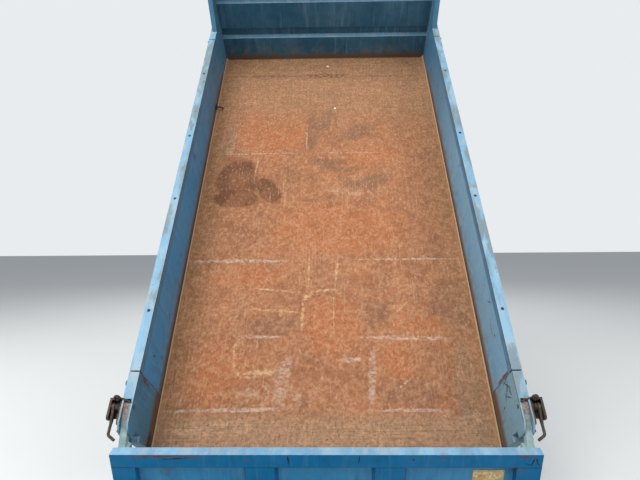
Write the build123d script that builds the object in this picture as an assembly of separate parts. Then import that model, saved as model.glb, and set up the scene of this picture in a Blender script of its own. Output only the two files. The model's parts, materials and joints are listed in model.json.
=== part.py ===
from build123d import *
from math import asin, atan2, cos, degrees, hypot, radians, sin
import os

# Tipping body of a light dump truck: a steel load bed with drop sides and a top-hung tailgate, tipped up on the
# sub-frame that carries it on a chassis, with the hoist that lifts it.
# Lengths are in millimetres and angles in degrees.
# World frame: +X right, +Y forward towards the cab, +Z up, origin on the chassis seat below the tip hinge.
# Bed frame: x right, s forward along the floor, h square to the floor, zero on the tip hinge's axis.

# Load bed
tip_angle = 54.0
hinge_height = 185.0
bed_length = 3010.0
bed_width = 1600.0
side_height = 335.0
wall_thickness = 45.0
floor_level = 85.0
floor_thickness = 4.5
tail_overhang = 80.0
floor_strip = 18.0
running_gap = 3.0
panel_gap = 6.0
swing_gap = 5.0
fit_gap = 0.05

# Floor structure
sill_bottom = 10.0
crossmember_height = 40.5
crossmember_width = 75.0
crossmember_wall = 5.0
crossmember_first = 95.0
crossmember_inset = 215.0
crossmember_count = 7
long_sill_height = 100.0
long_sill_wall = 6.0
long_sill_start = 110.0
end_sill_width = 52.0
tail_sill_width = 30.0
tail_sill_bottom = 24.0
end_sill_wall = 5.0
track_start = 500.0
track_end = 1880.0
track_width = 52.0
track_thickness = 8.0

# Headboard and posts
rear_post_width = 251.0
rear_post_corner = 52.0
front_post_width = 240.0
front_post_depth = 60.0
wing_height = 760.0
wing_thickness = 32.0
wing_foot = 95.0
wing_top = 90.0
swage_depth = 28.0
swage_slope = 15.0
headboard_sheet = 3.0
headboard_rail = 45.0
headboard_rib_width = 60.0
headboard_rib_spacing = 400.0
headboard_rib_count = 4
# Low and high edge of each groove pressed across the headboard, above the floor
headboard_grooves = ((190.0, 275.0), (470.0, 545.0))

# Tailgate
gate_open = 36.0
tailgate_reach = 12.0
tailgate_height = 202.0
tailgate_drop = 72.0
tailgate_thickness = 41.0
tailgate_top_rail = 63.0
tailgate_bottom_rail = 50.0
tailgate_end_post = 95.0
tailgate_rib_width = 140.0
tailgate_rib_place = 260.0
tailgate_rib_slope = 12.0
tailgate_skin = 3.0
gate_pin_place = 33.0
gate_pin_drop = 25.0
gate_pin_radius = 9.0
gate_arm_thickness = 28.0
gate_arm_boss = 22.0
gate_arm_depth = 34.0
gate_foot_reach = 17.0
gate_foot_length = 26.0
gate_foot_depth = 22.0

# Catches on the rear posts
catch_plate = 9.0
catch_space = 38.0
catch_rear = -12.0
catch_tail = 20.0
catch_web = 5.0
catch_front = 67.0
catch_radius = 18.0
catch_boss = 15.0
lever_out = 36.0
lever_thickness = 9.0
lever_tip = -36.0
handle_radius = 6.0
handle_bend = -80.0
handle_turn = 14.0
handle_end = -100.0
handle_end_out = 6.0

# Tailgate lock
lock_shaft_place = -60.0
lock_shaft_level = 45.0
lock_shaft_radius = 8.0
lock_pin_level = 70.0
lock_pin_radius = 9.0
lock_pin_length = 24.0
lock_hook_gap = 7.0
lock_hook_thickness = 10.0
lock_hook_finger = 16.0
lock_release = 50.0

# Drop sides
side_skin = 3.0
side_rail = 45.0
side_rib_width = 70.0
side_rib_count = 6
side_rib_slope = 14.0
side_hinge_places = (430.0, 1436.0, 2442.0)
side_hinge_width = 56.0
side_pin_out = 15.0
side_pin_drop = 14.0
side_pin_radius = 6.0
side_knuckle_radius = 12.0
side_strap_height = 70.0
side_strap_thickness = 6.0
hinge_ear = 8.0
ear_depth = 45.0
rope_hook_places = (560.0, 1180.0, 1660.0, 2280.0)
hook_width = 20.0
hook_bar = 8.0
hook_drop = 36.0
hook_reach = 26.0
hook_lip = 22.0

# Sub-frame
rail_outside = 370.0
rail_flange = 55.0
rail_height = 120.0
rail_wall = 6.0
rail_rear = -38.0
rail_front = 2900.0
frame_member_width = 80.0
frame_member_height = 40.0
frame_member_wall = 5.0
frame_member_places = (12.0, 750.0, 1650.0, 2250.0, 2850.0)
foot_places = (250.0, 2600.0)
foot_length = 90.0
foot_reach = 70.0
foot_thickness = 8.0
foot_height = 82.0
foot_bolt_reach = 38.0
foot_bolt_radius = 8.5
bracket_inside = 326.0
bracket_thickness = 24.0
hinge_boss_radius = 38.0
hinge_pin_radius = 18.0
lug_thickness = 10.0
lug_gap = 4.0
lug_length = 300.0

# Hoist
arm_pivot_y = 750.0
arm_pivot_z = 80.0
arm_length = 800.0
arm_inside = 50.0
arm_plate = 12.0
arm_pivot_boss = 32.0
arm_tip_boss = 28.0
arm_ear_gap = 4.0
crank_length = 110.0
crank_angle = 55.0
crank_boss = 26.0
roller_radius = 38.0
roller_width = 44.0
roller_axle_radius = 16.0
contact_gap = 0.3
pivot_pin_radius = 14.0
cylinder_pivot_y = 1650.0
cylinder_pivot_z = 100.0
barrel_radius = 40.0
barrel_start = 42.0
barrel_end = 650.0
gland_radius = 34.0
gland_length = 30.0
rod_radius = 18.0
rod_hidden = 180.0
eye_width = 40.0
eye_radius = 25.0
eye_pin_radius = 12.0
clevis_plate = 10.0
arm_stub = 2.0
tank_width = 420.0
tank_height = 130.0
tank_sink = 20.0
tank_corner = 50.0
tank_filler = 28.0
prop_place = -215.0
prop_width = 32.0

# Places that follow from the sizes above
half_width = bed_width / 2
outside = half_width + wall_thickness
tailgate_half = outside + tailgate_reach
tail = -tail_overhang
front = bed_length - tail_overhang
crossmember_last = front - crossmember_inset
side_top = floor_level + side_height
floor_bottom = floor_level - floor_thickness
member_bottom = floor_bottom - crossmember_height
long_sill_bottom = member_bottom - long_sill_height
rear_post_start = tail + swing_gap
rear_post_end = rear_post_start + rear_post_width
front_post_start = front - front_post_width
front_post_end = front + front_post_depth
gate_pin_level = side_top - gate_pin_drop
tailgate_top = floor_level + tailgate_height
tailgate_bottom = floor_level - tailgate_drop
tailgate_back = tail - tailgate_thickness
arm_foot_low = tailgate_top - gate_arm_depth
side_start = rear_post_end + panel_gap
side_end = front_post_start - panel_gap
side_bottom = floor_level + swing_gap
side_pin_x = outside + side_pin_out
side_pin_h = floor_level - side_pin_drop
track_bottom = member_bottom - track_thickness
roller_line = track_bottom - roller_radius - contact_gap


def closed(*points):
    """Flat outline with straight sides."""
    return make_face(Polyline(*points, close=True))


def plate(outline, x0, x1):
    """Plate square to X from x0 to x1, with its outline drawn in s and h."""
    return Pos(x0, 0, 0) * extrude(Plane.YZ * outline, x1 - x0, dir=(1, 0, 0))


def bar(section, s0, s1):
    """Bar that runs forward from s0 to s1, with its section drawn in x and h."""
    return Pos(0, s0, 0) * extrude(Plane.XZ * section, s1 - s0, dir=(0, 1, 0))


def upright(section, h0, h1):
    """Piece with its section drawn in x and s that stands from h0 to h1."""
    return Pos(0, 0, h0) * extrude(section, h1 - h0, dir=(0, 0, 1))


def ridge(middle, width, slope, low, high, up):
    """Section of a pressed rib whose flanks slope in as it rises from low to high, square to up."""
    half = width / 2
    corners = ((middle - half, low), (middle - half + slope, high), (middle + half - slope, high), (middle + half, low))
    return closed(*(corners if up == "s" else [(b, a) for a, b in corners]))


def block(x0, x1, s0, s1, h0, h1):
    """Rectangular block between its low and high corners."""
    return Pos((x0 + x1) / 2, (s0 + s1) / 2, (h0 + h1) / 2) * Box(x1 - x0, s1 - s0, h1 - h0)


def pin(radius, x0, x1, s, h):
    """Round pin or bore along X, with its axis at (s, h)."""
    return Pos((x0 + x1) / 2, s, h) * Rot(Y=90) * Cylinder(radius, x1 - x0)


def run(radius, start, end):
    """Round bar or bore along +Y from start to end."""
    return Pos(0, (start + end) / 2, 0) * Rot(X=90) * Cylinder(radius, end - start)


def channel(web, tip, low, high, wall):
    """Section of a channel, with its web at web and its flanges reaching to tip."""
    inner = web + wall if tip > web else web - wall
    return closed((web, low), (tip, low), (tip, low + wall), (inner, low + wall),
                  (inner, high - wall), (tip, high - wall), (tip, high), (web, high))


def folded(line, thickness):
    """Outline of a folded sheet: the line of its face, and that line moved to its right by the thickness."""
    moved = []
    for number, point in enumerate(line):
        before = line[max(number - 1, 0)]
        after = line[min(number + 1, len(line) - 1)]
        turns = []
        for start, end in ((before, point), (point, after)):
            length = hypot(end[0] - start[0], end[1] - start[1])
            if length > 0:
                turns.append(((end[1] - start[1]) / length, (start[0] - end[0]) / length))
        nx = sum(turn[0] for turn in turns) / len(turns)
        ny = sum(turn[1] for turn in turns) / len(turns)
        reach = thickness / (nx * nx + ny * ny)
        moved.append((point[0] + nx * reach, point[1] + ny * reach))
    return closed(*line, *moved[::-1])


def disc(radius, s, h):
    """Round outline at (s, h)."""
    return Pos(s, h) * Circle(radius)


def hull(*outlines):
    """Outline drawn tight around other outlines."""
    return make_hull([edge for outline in outlines for edge in outline.edges()])


def pair(part):
    """A right-hand piece with its mirror image on the left, as one node."""
    return part + mirror(part, about=Plane.YZ)


def on_bed(part):
    """Piece of the bed, turned up with it about the tip hinge."""
    return Pos(0, 0, hinge_height) * Rot(X=tip_angle) * part


def on_gate(part):
    """Piece of the tailgate, drawn closed and swung open about its pivots to the angle at which it hangs."""
    turned = Pos(0, gate_pin_place, gate_pin_level) * Rot(X=-gate_open) * Pos(0, -gate_pin_place, -gate_pin_level)
    return on_bed(turned * part)


def on_arm(part):
    """Piece of the lift arm, drawn with the arm along +Y from its pivot."""
    return Pos(0, arm_pivot_y, arm_pivot_z) * Rot(X=arm_angle(tip_angle)) * part


def on_cylinder(part):
    """Piece of the cylinder, drawn along +Y from its pivot."""
    return Pos(0, cylinder_pivot_y, cylinder_pivot_z) * Rot(X=cylinder_line(tip_angle)[1]) * part


def arm_angle(tip):
    """Angle of the lift arm at which its roller meets the track of the bed."""
    rise = arm_pivot_y * sin(radians(tip)) - (arm_pivot_z - hinge_height) * cos(radians(tip))
    return tip + degrees(asin((roller_line + rise) / arm_length))


def cylinder_line(tip):
    """Length and angle of the line from the cylinder's pivot to the crank's pin."""
    turn = radians(arm_angle(tip) + crank_angle)
    along = arm_pivot_y + crank_length * cos(turn) - cylinder_pivot_y
    up = arm_pivot_z + crank_length * sin(turn) - cylinder_pivot_z
    return hypot(along, up), degrees(atan2(up, along))


def spread(first, last, count):
    """Evenly spaced places from first to last."""
    return [first + (last - first) * number / (count - 1) for number in range(count)]


# Sub-frame
def subframe_rail():
    """Right rail: a channel open inwards, its front end sloped off below."""
    rail = bar(channel(rail_outside, rail_outside - rail_flange, 0, rail_height, rail_wall), rail_rear, rail_front)
    slope = rail_height / 2
    wedge = closed((rail_front - slope, 0), (rail_front, 0), (rail_front, slope))
    return rail - plate(wedge, 0, rail_outside)


def subframe_crossmembers():
    """Box-section members between the rails, notched over the rails' bottom flanges to reach their webs."""
    members = Part()
    tip = rail_outside - rail_flange
    web = rail_outside - rail_wall
    wall = frame_member_wall
    for place in frame_member_places:
        low = place - frame_member_width / 2
        high = place + frame_member_width / 2
        tube = block(-tip, tip, low, high, 0, frame_member_height)
        tube += block(-web, web, low, high, rail_wall, frame_member_height)
        tube -= block(-tip, tip, low + wall, high - wall, wall, frame_member_height - wall)
        members += tube
    return members


def foot_plates():
    """Angle brackets on the rails' outer faces, each with a bolt hole down into the chassis."""
    feet = Part()
    for place in foot_places:
        low = place - foot_length / 2
        high = place + foot_length / 2
        foot = block(rail_outside, rail_outside + foot_reach, low, high, 0, foot_thickness)
        foot += block(rail_outside, rail_outside + foot_thickness, low, high, 0, foot_height)
        bore = Cylinder(foot_bolt_radius, 3 * foot_thickness)
        feet += foot - Pos(rail_outside + foot_bolt_reach, place, foot_thickness / 2) * bore
    return pair(feet)


def hinge_brackets():
    """Upright plates on the rails that carry the tip hinge."""
    foot_front = long_sill_start - 2 * swing_gap
    foot = closed((rail_rear, rail_height), (foot_front, rail_height), (foot_front, rail_height + rail_wall),
                  (rail_rear, rail_height + rail_wall))
    outline = hull(disc(hinge_boss_radius, 0, hinge_height), foot)
    bracket = plate(outline, bracket_inside, bracket_inside + bracket_thickness)
    bore = pin(hinge_pin_radius + fit_gap, 0, outside, 0, hinge_height)
    return pair(bracket - bore)


def hoist_mounts():
    """Ears with stub pins outside the lift arm's plates, and the clevis with the pin of the cylinder's fixed end."""
    arm_ear = arm_inside + arm_plate + arm_ear_gap
    clevis = eye_width / 2 + lug_gap / 2
    half = frame_member_width / 2
    ears = Part()
    for y, z, boss, inner, thickness in (
        (arm_pivot_y, arm_pivot_z, arm_pivot_boss, arm_ear, arm_plate),
        (cylinder_pivot_y, cylinder_pivot_z, eye_radius, clevis, clevis_plate),
    ):
        foot = closed((y - half, frame_member_height), (y + half, frame_member_height),
                      (y, frame_member_height + thickness))
        ears += plate(hull(disc(boss, y, z), foot), inner, inner + thickness)
    ears += pin(pivot_pin_radius, arm_inside - arm_stub, arm_ear + arm_plate, arm_pivot_y, arm_pivot_z)
    outer = clevis + clevis_plate
    return pair(ears) + pin(eye_pin_radius, -outer, outer, cylinder_pivot_y, cylinder_pivot_z)


def oil_tank():
    """Oil tank of the hoist between the front members, with its filler."""
    rear, front_end = frame_member_places[3] + frame_member_width / 2, frame_member_places[4] - frame_member_width / 2
    bottom = frame_member_height - tank_sink
    high = bottom + tank_height
    tank = block(-tank_width / 2, tank_width / 2, rear, front_end, bottom, high)
    for corner in (rear, front_end):
        turned = Pos(0, corner, high) * Rot(X=45) * Box(tank_width, tank_corner, tank_corner)
        tank -= turned
    filler = Pos(tank_width / 4, (rear + front_end) / 2, high + tank_filler / 2)
    return tank + filler * Cylinder(tank_filler, tank_filler)


def body_prop():
    """Square stay that lies on the members, with its ears, to hold the bed up for repairs."""
    half = prop_width / 2
    prop = block(prop_place - half, prop_place + half, frame_member_places[1] - half, frame_member_places[2] + half,
                 frame_member_height, frame_member_height + prop_width)
    for place in (prop_place - half - hinge_ear, prop_place + half):
        prop += block(place, place + hinge_ear, frame_member_places[1] - half, frame_member_places[1] + half,
                      frame_member_height, frame_member_height + prop_width + hinge_ear)
    return prop


# Load bed
def bed_floor():
    """Floor plate with a strip turned up at 45 degrees along each side."""
    edge = half_width - running_gap
    inner = edge - floor_strip
    top = floor_level + floor_strip
    section = closed(
        (-edge, floor_bottom), (edge, floor_bottom), (edge, top), (edge - running_gap, top), (inner, floor_level),
        (-inner, floor_level), (running_gap - edge, top), (-edge, top))
    return bar(section, tail + swing_gap, front)


def bed_crossmembers():
    """Channels across the bed under its floor."""
    members = Part()
    for place in spread(crossmember_first, crossmember_last, crossmember_count):
        section = channel(place - crossmember_width / 2, place + crossmember_width / 2, member_bottom, floor_bottom,
                          crossmember_wall)
        members += plate(section, running_gap - half_width, half_width - running_gap)
    return members


def bed_long_sills():
    """Channels along the bed that lie over the sub-frame's rails when the bed is down."""
    section = channel(rail_outside, rail_outside - rail_flange, long_sill_bottom, member_bottom, long_sill_wall)
    return pair(bar(section, long_sill_start, front - end_sill_width))


def bed_side_sills():
    """Channels along the bed's edges that carry the hinges of the drop sides."""
    web = outside - running_gap
    section = channel(web, half_width - running_gap, sill_bottom, floor_level, crossmember_wall)
    return pair(bar(section, rear_post_end, front_post_start))


def bed_end_sills():
    """Hollow sills across the rear and front edges of the floor."""
    sills = Part()
    wall = end_sill_wall
    for start, end, low in (
        (tail + swing_gap, tail + swing_gap + tail_sill_width, tail_sill_bottom),
        (front - end_sill_width, front, sill_bottom),
    ):
        outer = block(-half_width, half_width, start, end, low, floor_bottom)
        sills += outer - block(-half_width, half_width, start + wall, end - wall, low + wall, floor_bottom - wall)
    return sills


def bed_hinge_lugs():
    """Lug plates outside the brackets, running forward between the flanges of the long sills."""
    low = long_sill_bottom + long_sill_wall
    high = member_bottom - long_sill_wall
    support = crossmember_first - crossmember_width / 2
    outline = closed(
        (0, -hinge_boss_radius), (long_sill_start, low), (lug_length, low), (lug_length, high),
        (long_sill_start, high), (long_sill_start, member_bottom), (support, member_bottom), (0, hinge_boss_radius))
    outline += disc(hinge_boss_radius, 0, 0)
    web = rail_outside - long_sill_wall
    lug = plate(outline, web - lug_thickness, web)
    return pair(lug - pin(hinge_pin_radius + fit_gap, 0, outside, 0, 0))


def bed_hinge_pins():
    """Pins of the tip hinge."""
    return pair(pin(hinge_pin_radius, bracket_inside - swing_gap, rail_outside, 0, 0))


def roller_tracks():
    """Flat bars under the cross-members on which the hoist's rollers push."""
    inner = arm_inside + arm_plate + arm_ear_gap
    return pair(block(inner, inner + track_width, track_start, track_end, track_bottom, member_bottom))


def headboard_panel():
    """Panel with two grooves pressed right across it."""
    deep = front + swage_depth
    line = [(front, sill_bottom)]
    for groove_low, groove_high in headboard_grooves:
        line.append((front, floor_level + groove_low))
        line.append((deep, floor_level + groove_low + swage_slope))
        line.append((deep, floor_level + groove_high - swage_slope))
        line.append((front, floor_level + groove_high))
    line.append((front, floor_level + wing_height - headboard_rail))
    return plate(folded(line, headboard_sheet), -half_width, half_width)


def headboard_top_rail():
    """Hollow rail along the top of the headboard."""
    high = floor_level + wing_height
    outer = block(-half_width, half_width, front, front_post_end, high - headboard_rail, high)
    wall = headboard_sheet
    inner = block(-half_width, half_width, front + wall, front_post_end - wall, high - headboard_rail + wall,
                  high - wall)
    return outer - inner


def headboard_ribs():
    """Upright ribs on the cab side of the headboard."""
    ribs = Part()
    reach = headboard_rib_spacing * (headboard_rib_count - 1) / 2
    for place in spread(-reach, reach, headboard_rib_count):
        section = ridge(place, headboard_rib_width, headboard_sheet, front + swage_depth + headboard_sheet,
                        front_post_end, "s")
        ribs += upright(section, sill_bottom, floor_level + wing_height - headboard_rail)
    return ribs


def front_post():
    """Right front post, with the wing that rises from it beside the headboard."""
    post = block(half_width, outside, front_post_start, front_post_end, sill_bottom, side_top)
    high = floor_level + wing_height
    wing = closed((front_post_start + wing_foot, side_top - swing_gap), (front_post_end, side_top - swing_gap),
                  (front_post_end, high), (front_post_end - wing_top, high))
    return post + plate(wing, half_width, half_width + wing_thickness)


def rear_post():
    """Right rear post: its top is rounded at the rear, and a slot there takes the tailgate's arm."""
    line = FilletPolyline(
        (rear_post_start, sill_bottom), (rear_post_end, sill_bottom), (rear_post_end, side_top),
        (rear_post_start, side_top), radius=[0, 0, 0, rear_post_corner], close=True)
    post = plate(make_face(line), half_width, outside)
    cheek = (wall_thickness - gate_arm_thickness) / 2 - 1.5
    reach = gate_arm_boss + swing_gap
    above = side_top + swing_gap
    behind = closed((tail, arm_foot_low - 2 * swing_gap), (gate_pin_place + reach, above), (tail, above))
    slot = hull(disc(reach, gate_pin_place, gate_pin_level), behind)
    post -= plate(slot, half_width + cheek, outside - cheek)
    foot_front = tail + gate_foot_length + swing_gap
    foot_low = tailgate_top - gate_foot_depth - swing_gap
    post -= block(0, outside - cheek, tail, foot_front, foot_low, foot_low + 3 * gate_foot_depth)
    post -= pin(gate_pin_radius + fit_gap, 0, 2 * outside, gate_pin_place, gate_pin_level)
    return post - pin(lock_shaft_radius + fit_gap, 0, 2 * outside, lock_shaft_place, lock_shaft_level)


def post_catches():
    """Catches outside the rear posts: two cheeks, the lever with its bent handle, and the gate's pivot pin."""
    low = gate_pin_level - catch_radius
    high = gate_pin_level + catch_radius
    nose = catch_radius / 2
    inner = outside + catch_plate
    outer = inner + catch_space
    catch = block(inner, outer, catch_front - catch_plate, catch_front, low, high)
    catch += block(inner, outer, catch_rear, catch_front, low, low + catch_web)
    for face, rear in ((outside, catch_rear - catch_tail), (outer, catch_rear)):
        outline = closed((rear, low), (catch_front, low), (catch_front, high), (rear, high), (rear - nose, high - nose),
                         (rear - nose, low + nose))
        catch += plate(outline, face, face + catch_plate)
    catch += pin(catch_boss, inner, outer, gate_pin_place, gate_pin_level)
    catch += pin(gate_pin_radius, half_width, outside, gate_pin_place, gate_pin_level)
    lever = outside + lever_out
    shape = hull(disc(catch_radius, gate_pin_place, gate_pin_level), disc(handle_radius, lever_tip, gate_pin_level))
    catch += plate(shape, lever - lever_thickness / 2, lever + lever_thickness / 2)
    bent = FilletPolyline((lever, lever_tip), (lever, handle_bend), (outside + handle_end_out, handle_end),
                          radius=handle_turn)
    route = Pos(0, 0, gate_pin_level) * bent
    start = Plane(origin=(lever, lever_tip, gate_pin_level), z_dir=(0, -1, 0))
    catch += sweep(start * Circle(handle_radius), path=route, transition=Transition.RIGHT)
    return pair(catch)


def rope_hooks():
    """Flat hooks under the side sills for the ropes of a cover."""
    web = outside - running_gap
    hooks = Part()
    outline = closed(
        (web - hook_bar, sill_bottom), (web - hook_bar, sill_bottom - hook_drop),
        (web + hook_reach, sill_bottom - hook_drop), (web + hook_reach, sill_bottom - hook_drop + hook_lip),
        (web + hook_reach - hook_bar, sill_bottom - hook_drop + hook_lip),
        (web + hook_reach - hook_bar, sill_bottom - hook_drop + hook_bar), (web, sill_bottom - hook_drop + hook_bar),
        (web, sill_bottom))
    for place in rope_hook_places:
        hooks += bar(outline, place, place + hook_width)
    return pair(hooks)


def side_hinge_brackets():
    """Pairs of ears on the side sills, each pair with the pin of a drop side's hinge."""
    web = outside - running_gap
    brackets = Part()
    for place in side_hinge_places:
        half = side_hinge_width / 2 + lug_gap / 2
        radius = side_knuckle_radius
        outline = closed(
            (web, side_pin_h - ear_depth), (web + radius / 2, side_pin_h - ear_depth),
            (side_pin_x + radius, side_pin_h - radius), (side_pin_x + radius, side_pin_h + radius / 2),
            (side_pin_x + radius / 2, side_pin_h + radius), (web, side_pin_h + radius))
        for start in (place - half - hinge_ear, place + half):
            brackets += bar(outline, start, start + hinge_ear)
        brackets += Pos(side_pin_x, place, side_pin_h) * Rot(X=90) * Cylinder(side_pin_radius, 2 * half)
    return pair(brackets)


# Drop sides
def side_top_rail():
    """Rail along the top of the right drop side."""
    return block(half_width, outside, side_start, side_end, side_top - side_rail, side_top)


def side_panel():
    """Inner skin of the right drop side, turned out along its bottom."""
    line = [(outside, side_bottom), (half_width, side_bottom), (half_width, side_top - side_rail)]
    return bar(folded(line, side_skin), side_start, side_end)


def side_ribs():
    """Upright ribs on the outside of the right drop side."""
    ribs = Part()
    half = side_rib_width / 2
    for place in spread(side_start + half, side_end - half, side_rib_count):
        section = ridge(place, side_rib_width, side_rib_slope, half_width + side_skin, outside, "x")
        ribs += upright(section, side_bottom + side_skin, side_top - side_rail)
    return ribs


def side_hinges():
    """Straps on the outside of the right drop side, each with the knuckle that turns on its pin."""
    straps = Part()
    low = side_bottom + side_skin
    face = outside
    for place in side_hinge_places:
        radius = side_knuckle_radius
        outline = closed(
            (face, low), (face, side_pin_h), (side_pin_x - radius / 2, side_pin_h - radius),
            (side_pin_x + radius / 2, side_pin_h - radius), (side_pin_x + radius, side_pin_h - radius / 2),
            (side_pin_x + radius, side_pin_h + radius / 2), (face + side_strap_thickness, low + radius),
            (face + side_strap_thickness, low + side_strap_height), (face, low + side_strap_height))
        start = place - side_hinge_width / 2
        strap = bar(outline, start, start + side_hinge_width)
        bore = Cylinder(side_pin_radius + fit_gap, 2 * side_hinge_width)
        straps += strap - Pos(side_pin_x, place, side_pin_h) * Rot(X=90) * bore
    return straps


# Tailgate
def tailgate_rails():
    """Top and bottom rail and the end posts between them."""
    half = tailgate_half
    low = tailgate_bottom + tailgate_bottom_rail
    high = tailgate_top - tailgate_top_rail
    frame = block(-half, half, tailgate_back, tail, high, tailgate_top)
    frame += block(-half, half, tailgate_back, tail, tailgate_bottom, low)
    return frame + pair(block(half - tailgate_end_post, half, tailgate_back, tail, low, high))


def tailgate_panel():
    """Flat inner skin of the tailgate."""
    half = tailgate_half - tailgate_end_post
    low = tailgate_bottom + tailgate_bottom_rail
    return block(-half, half, tail - tailgate_skin, tail, low, tailgate_top - tailgate_top_rail)


def tailgate_ribs():
    """Two broad upright ribs on the outside of the skin."""
    section = ridge(tailgate_rib_place, tailgate_rib_width, tailgate_rib_slope, tail - tailgate_skin, tailgate_back,
                    "s")
    low = tailgate_bottom + tailgate_bottom_rail
    return pair(upright(section, low, tailgate_top - tailgate_top_rail))


def tailgate_arms():
    """Arms from the tailgate's top corners to its pivots, each with a foot that reaches inboard."""
    inner = half_width + (wall_thickness - gate_arm_thickness) / 2
    foot = closed((tail, arm_foot_low), (tail + swing_gap, tailgate_top), (tail, tailgate_top))
    outline = hull(disc(gate_arm_boss, gate_pin_place, gate_pin_level), foot)
    arm = plate(outline, inner, inner + gate_arm_thickness)
    arm -= pin(gate_pin_radius + fit_gap, 0, 2 * outside, gate_pin_place, gate_pin_level)
    foot_low = tailgate_top - gate_foot_depth
    arm += block(inner - gate_foot_reach, inner + gate_arm_thickness, tail, tail + gate_foot_length, foot_low, tailgate_top)
    return pair(arm)


def tailgate_lock_pins():
    """Stub pins at the tailgate's ends for the lock's hooks."""
    half = tailgate_half
    middle = (tail + tailgate_back) / 2
    return pair(pin(lock_pin_radius, half, half + lock_pin_length, middle, lock_pin_level))


# Tailgate lock
def lock_shaft():
    """Shaft through the rear posts and the rear sill that turns both hooks together."""
    reach = tailgate_half + lock_pin_length
    return pin(lock_shaft_radius, -reach, reach, lock_shaft_place, lock_shaft_level)


def lock_hooks():
    """Hooks that close round the tailgate's stub pins, drawn released."""
    middle = (tail + tailgate_back) / 2
    along = middle - lock_shaft_place
    up = lock_pin_level - lock_shaft_level
    reach = hypot(along, up)
    at_pin = degrees(atan2(up, along))
    inner = reach + lock_pin_radius + 1.5
    outer = inner + lock_hook_finger
    clear = degrees(asin((lock_pin_radius + 2) / reach))

    def wedge(start, end):
        far = 1.4 * outer
        corners = [(0, 0)]
        for turn in spread(start, end, 3):
            corners.append((far * cos(radians(turn)), far * sin(radians(turn))))
        return closed(*corners)

    finger = (Circle(outer) - Circle(inner)) & wedge(at_pin - clear, at_pin + clear + 22)
    shank = Circle(outer) & wedge(at_pin + clear, at_pin + clear + 22)
    outline = finger + shank + Circle(2 * lock_shaft_radius) - Circle(lock_shaft_radius + fit_gap)
    start = tailgate_half + lock_hook_gap
    hook = plate(Rot(Z=lock_release) * outline, start, start + lock_hook_thickness)
    return pair(Pos(0, lock_shaft_place, lock_shaft_level) * hook)


# Hoist
def lift_arm_plates():
    """Twin plates of the lift arm, joined by a tube at the tip, each with a crank and the crank's stub pin."""
    crank = (crank_length * cos(radians(crank_angle)), crank_length * sin(radians(crank_angle)))
    outline = hull(disc(arm_pivot_boss, 0, 0), disc(arm_tip_boss, arm_length, 0))
    outline += hull(disc(arm_pivot_boss, 0, 0), disc(crank_boss, *crank), disc(arm_tip_boss, 2 * crank_length, 0))
    side = plate(outline, arm_inside, arm_inside + arm_plate)
    side -= pin(pivot_pin_radius + fit_gap, 0, outside, 0, 0)
    side += pin(eye_pin_radius, eye_width / 2 + lug_gap, arm_inside, *crank)
    return on_arm(pair(side) + pin(roller_axle_radius, -arm_inside, arm_inside, arm_length, 0))


def lift_arm_rollers():
    """Roller outside each plate at the arm's tip."""
    start = arm_inside + arm_plate
    return on_arm(pair(pin(roller_radius, start, start + roller_width, arm_length, 0)))


def hoist_barrel():
    """Cylinder barrel with its eye and gland, bored for the rod."""
    barrel = run(barrel_radius, barrel_start - swing_gap, barrel_end)
    neck = block(-eye_width / 2, eye_width / 2, 0, barrel_start, -eye_radius, eye_radius)
    barrel += neck + pin(eye_radius, -eye_width / 2, eye_width / 2, 0, 0)
    barrel += run(gland_radius, barrel_end, barrel_end + gland_length)
    barrel -= run(rod_radius + fit_gap, barrel_start, barrel_end + 2 * gland_length)
    return on_cylinder(barrel - pin(eye_pin_radius + fit_gap, -outside, outside, 0, 0))


def hoist_rod():
    """Piston rod with its eye at the crank's stub pins."""
    length = cylinder_line(tip_angle)[0]
    rod = run(rod_radius, barrel_start + rod_hidden, length)
    rod += pin(eye_radius, -eye_width / 2, eye_width / 2, length, 0)
    return on_cylinder(rod - pin(eye_pin_radius + fit_gap, -outside, outside, length, 0))


nodes = {
    "subframe_rail_right": subframe_rail(),
    "subframe_rail_left": mirror(subframe_rail(), about=Plane.YZ),
    "subframe_crossmembers": subframe_crossmembers(),
    "foot_plates": foot_plates(),
    "hinge_brackets": hinge_brackets(),
    "hoist_mounts": hoist_mounts(),
    "oil_tank": oil_tank(),
    "body_prop": body_prop(),
    "bed_floor": on_bed(bed_floor()),
    "bed_crossmembers": on_bed(bed_crossmembers()),
    "bed_long_sills": on_bed(bed_long_sills()),
    "bed_side_sills": on_bed(bed_side_sills()),
    "bed_end_sills": on_bed(bed_end_sills()),
    "bed_hinge_lugs": on_bed(bed_hinge_lugs()),
    "bed_hinge_pins": on_bed(bed_hinge_pins()),
    "roller_tracks": on_bed(roller_tracks()),
    "headboard_panel": on_bed(headboard_panel()),
    "headboard_top_rail": on_bed(headboard_top_rail()),
    "headboard_ribs": on_bed(headboard_ribs()),
    "post_catches": on_bed(post_catches()),
    "rope_hooks": on_bed(rope_hooks()),
    "side_hinge_brackets": on_bed(side_hinge_brackets()),
    "tailgate_rails": on_gate(tailgate_rails()),
    "tailgate_panel": on_gate(tailgate_panel()),
    "tailgate_ribs": on_gate(tailgate_ribs()),
    "tailgate_arms": on_gate(tailgate_arms()),
    "tailgate_lock_pins": on_gate(tailgate_lock_pins()),
    "lock_shaft": on_bed(lock_shaft()),
    "lock_hooks": on_bed(lock_hooks()),
    "lift_arm_plates": lift_arm_plates(),
    "lift_arm_rollers": lift_arm_rollers(),
    "hoist_barrel": hoist_barrel(),
    "hoist_rod": hoist_rod(),
}
for name, make in (
    ("front_post", front_post), ("rear_post", rear_post), ("side_top_rail", side_top_rail),
    ("side_panel", side_panel), ("side_ribs", side_ribs), ("side_hinges", side_hinges),
):
    nodes[name + "_right"] = on_bed(make())
    nodes[name + "_left"] = on_bed(mirror(make(), about=Plane.YZ))

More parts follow.
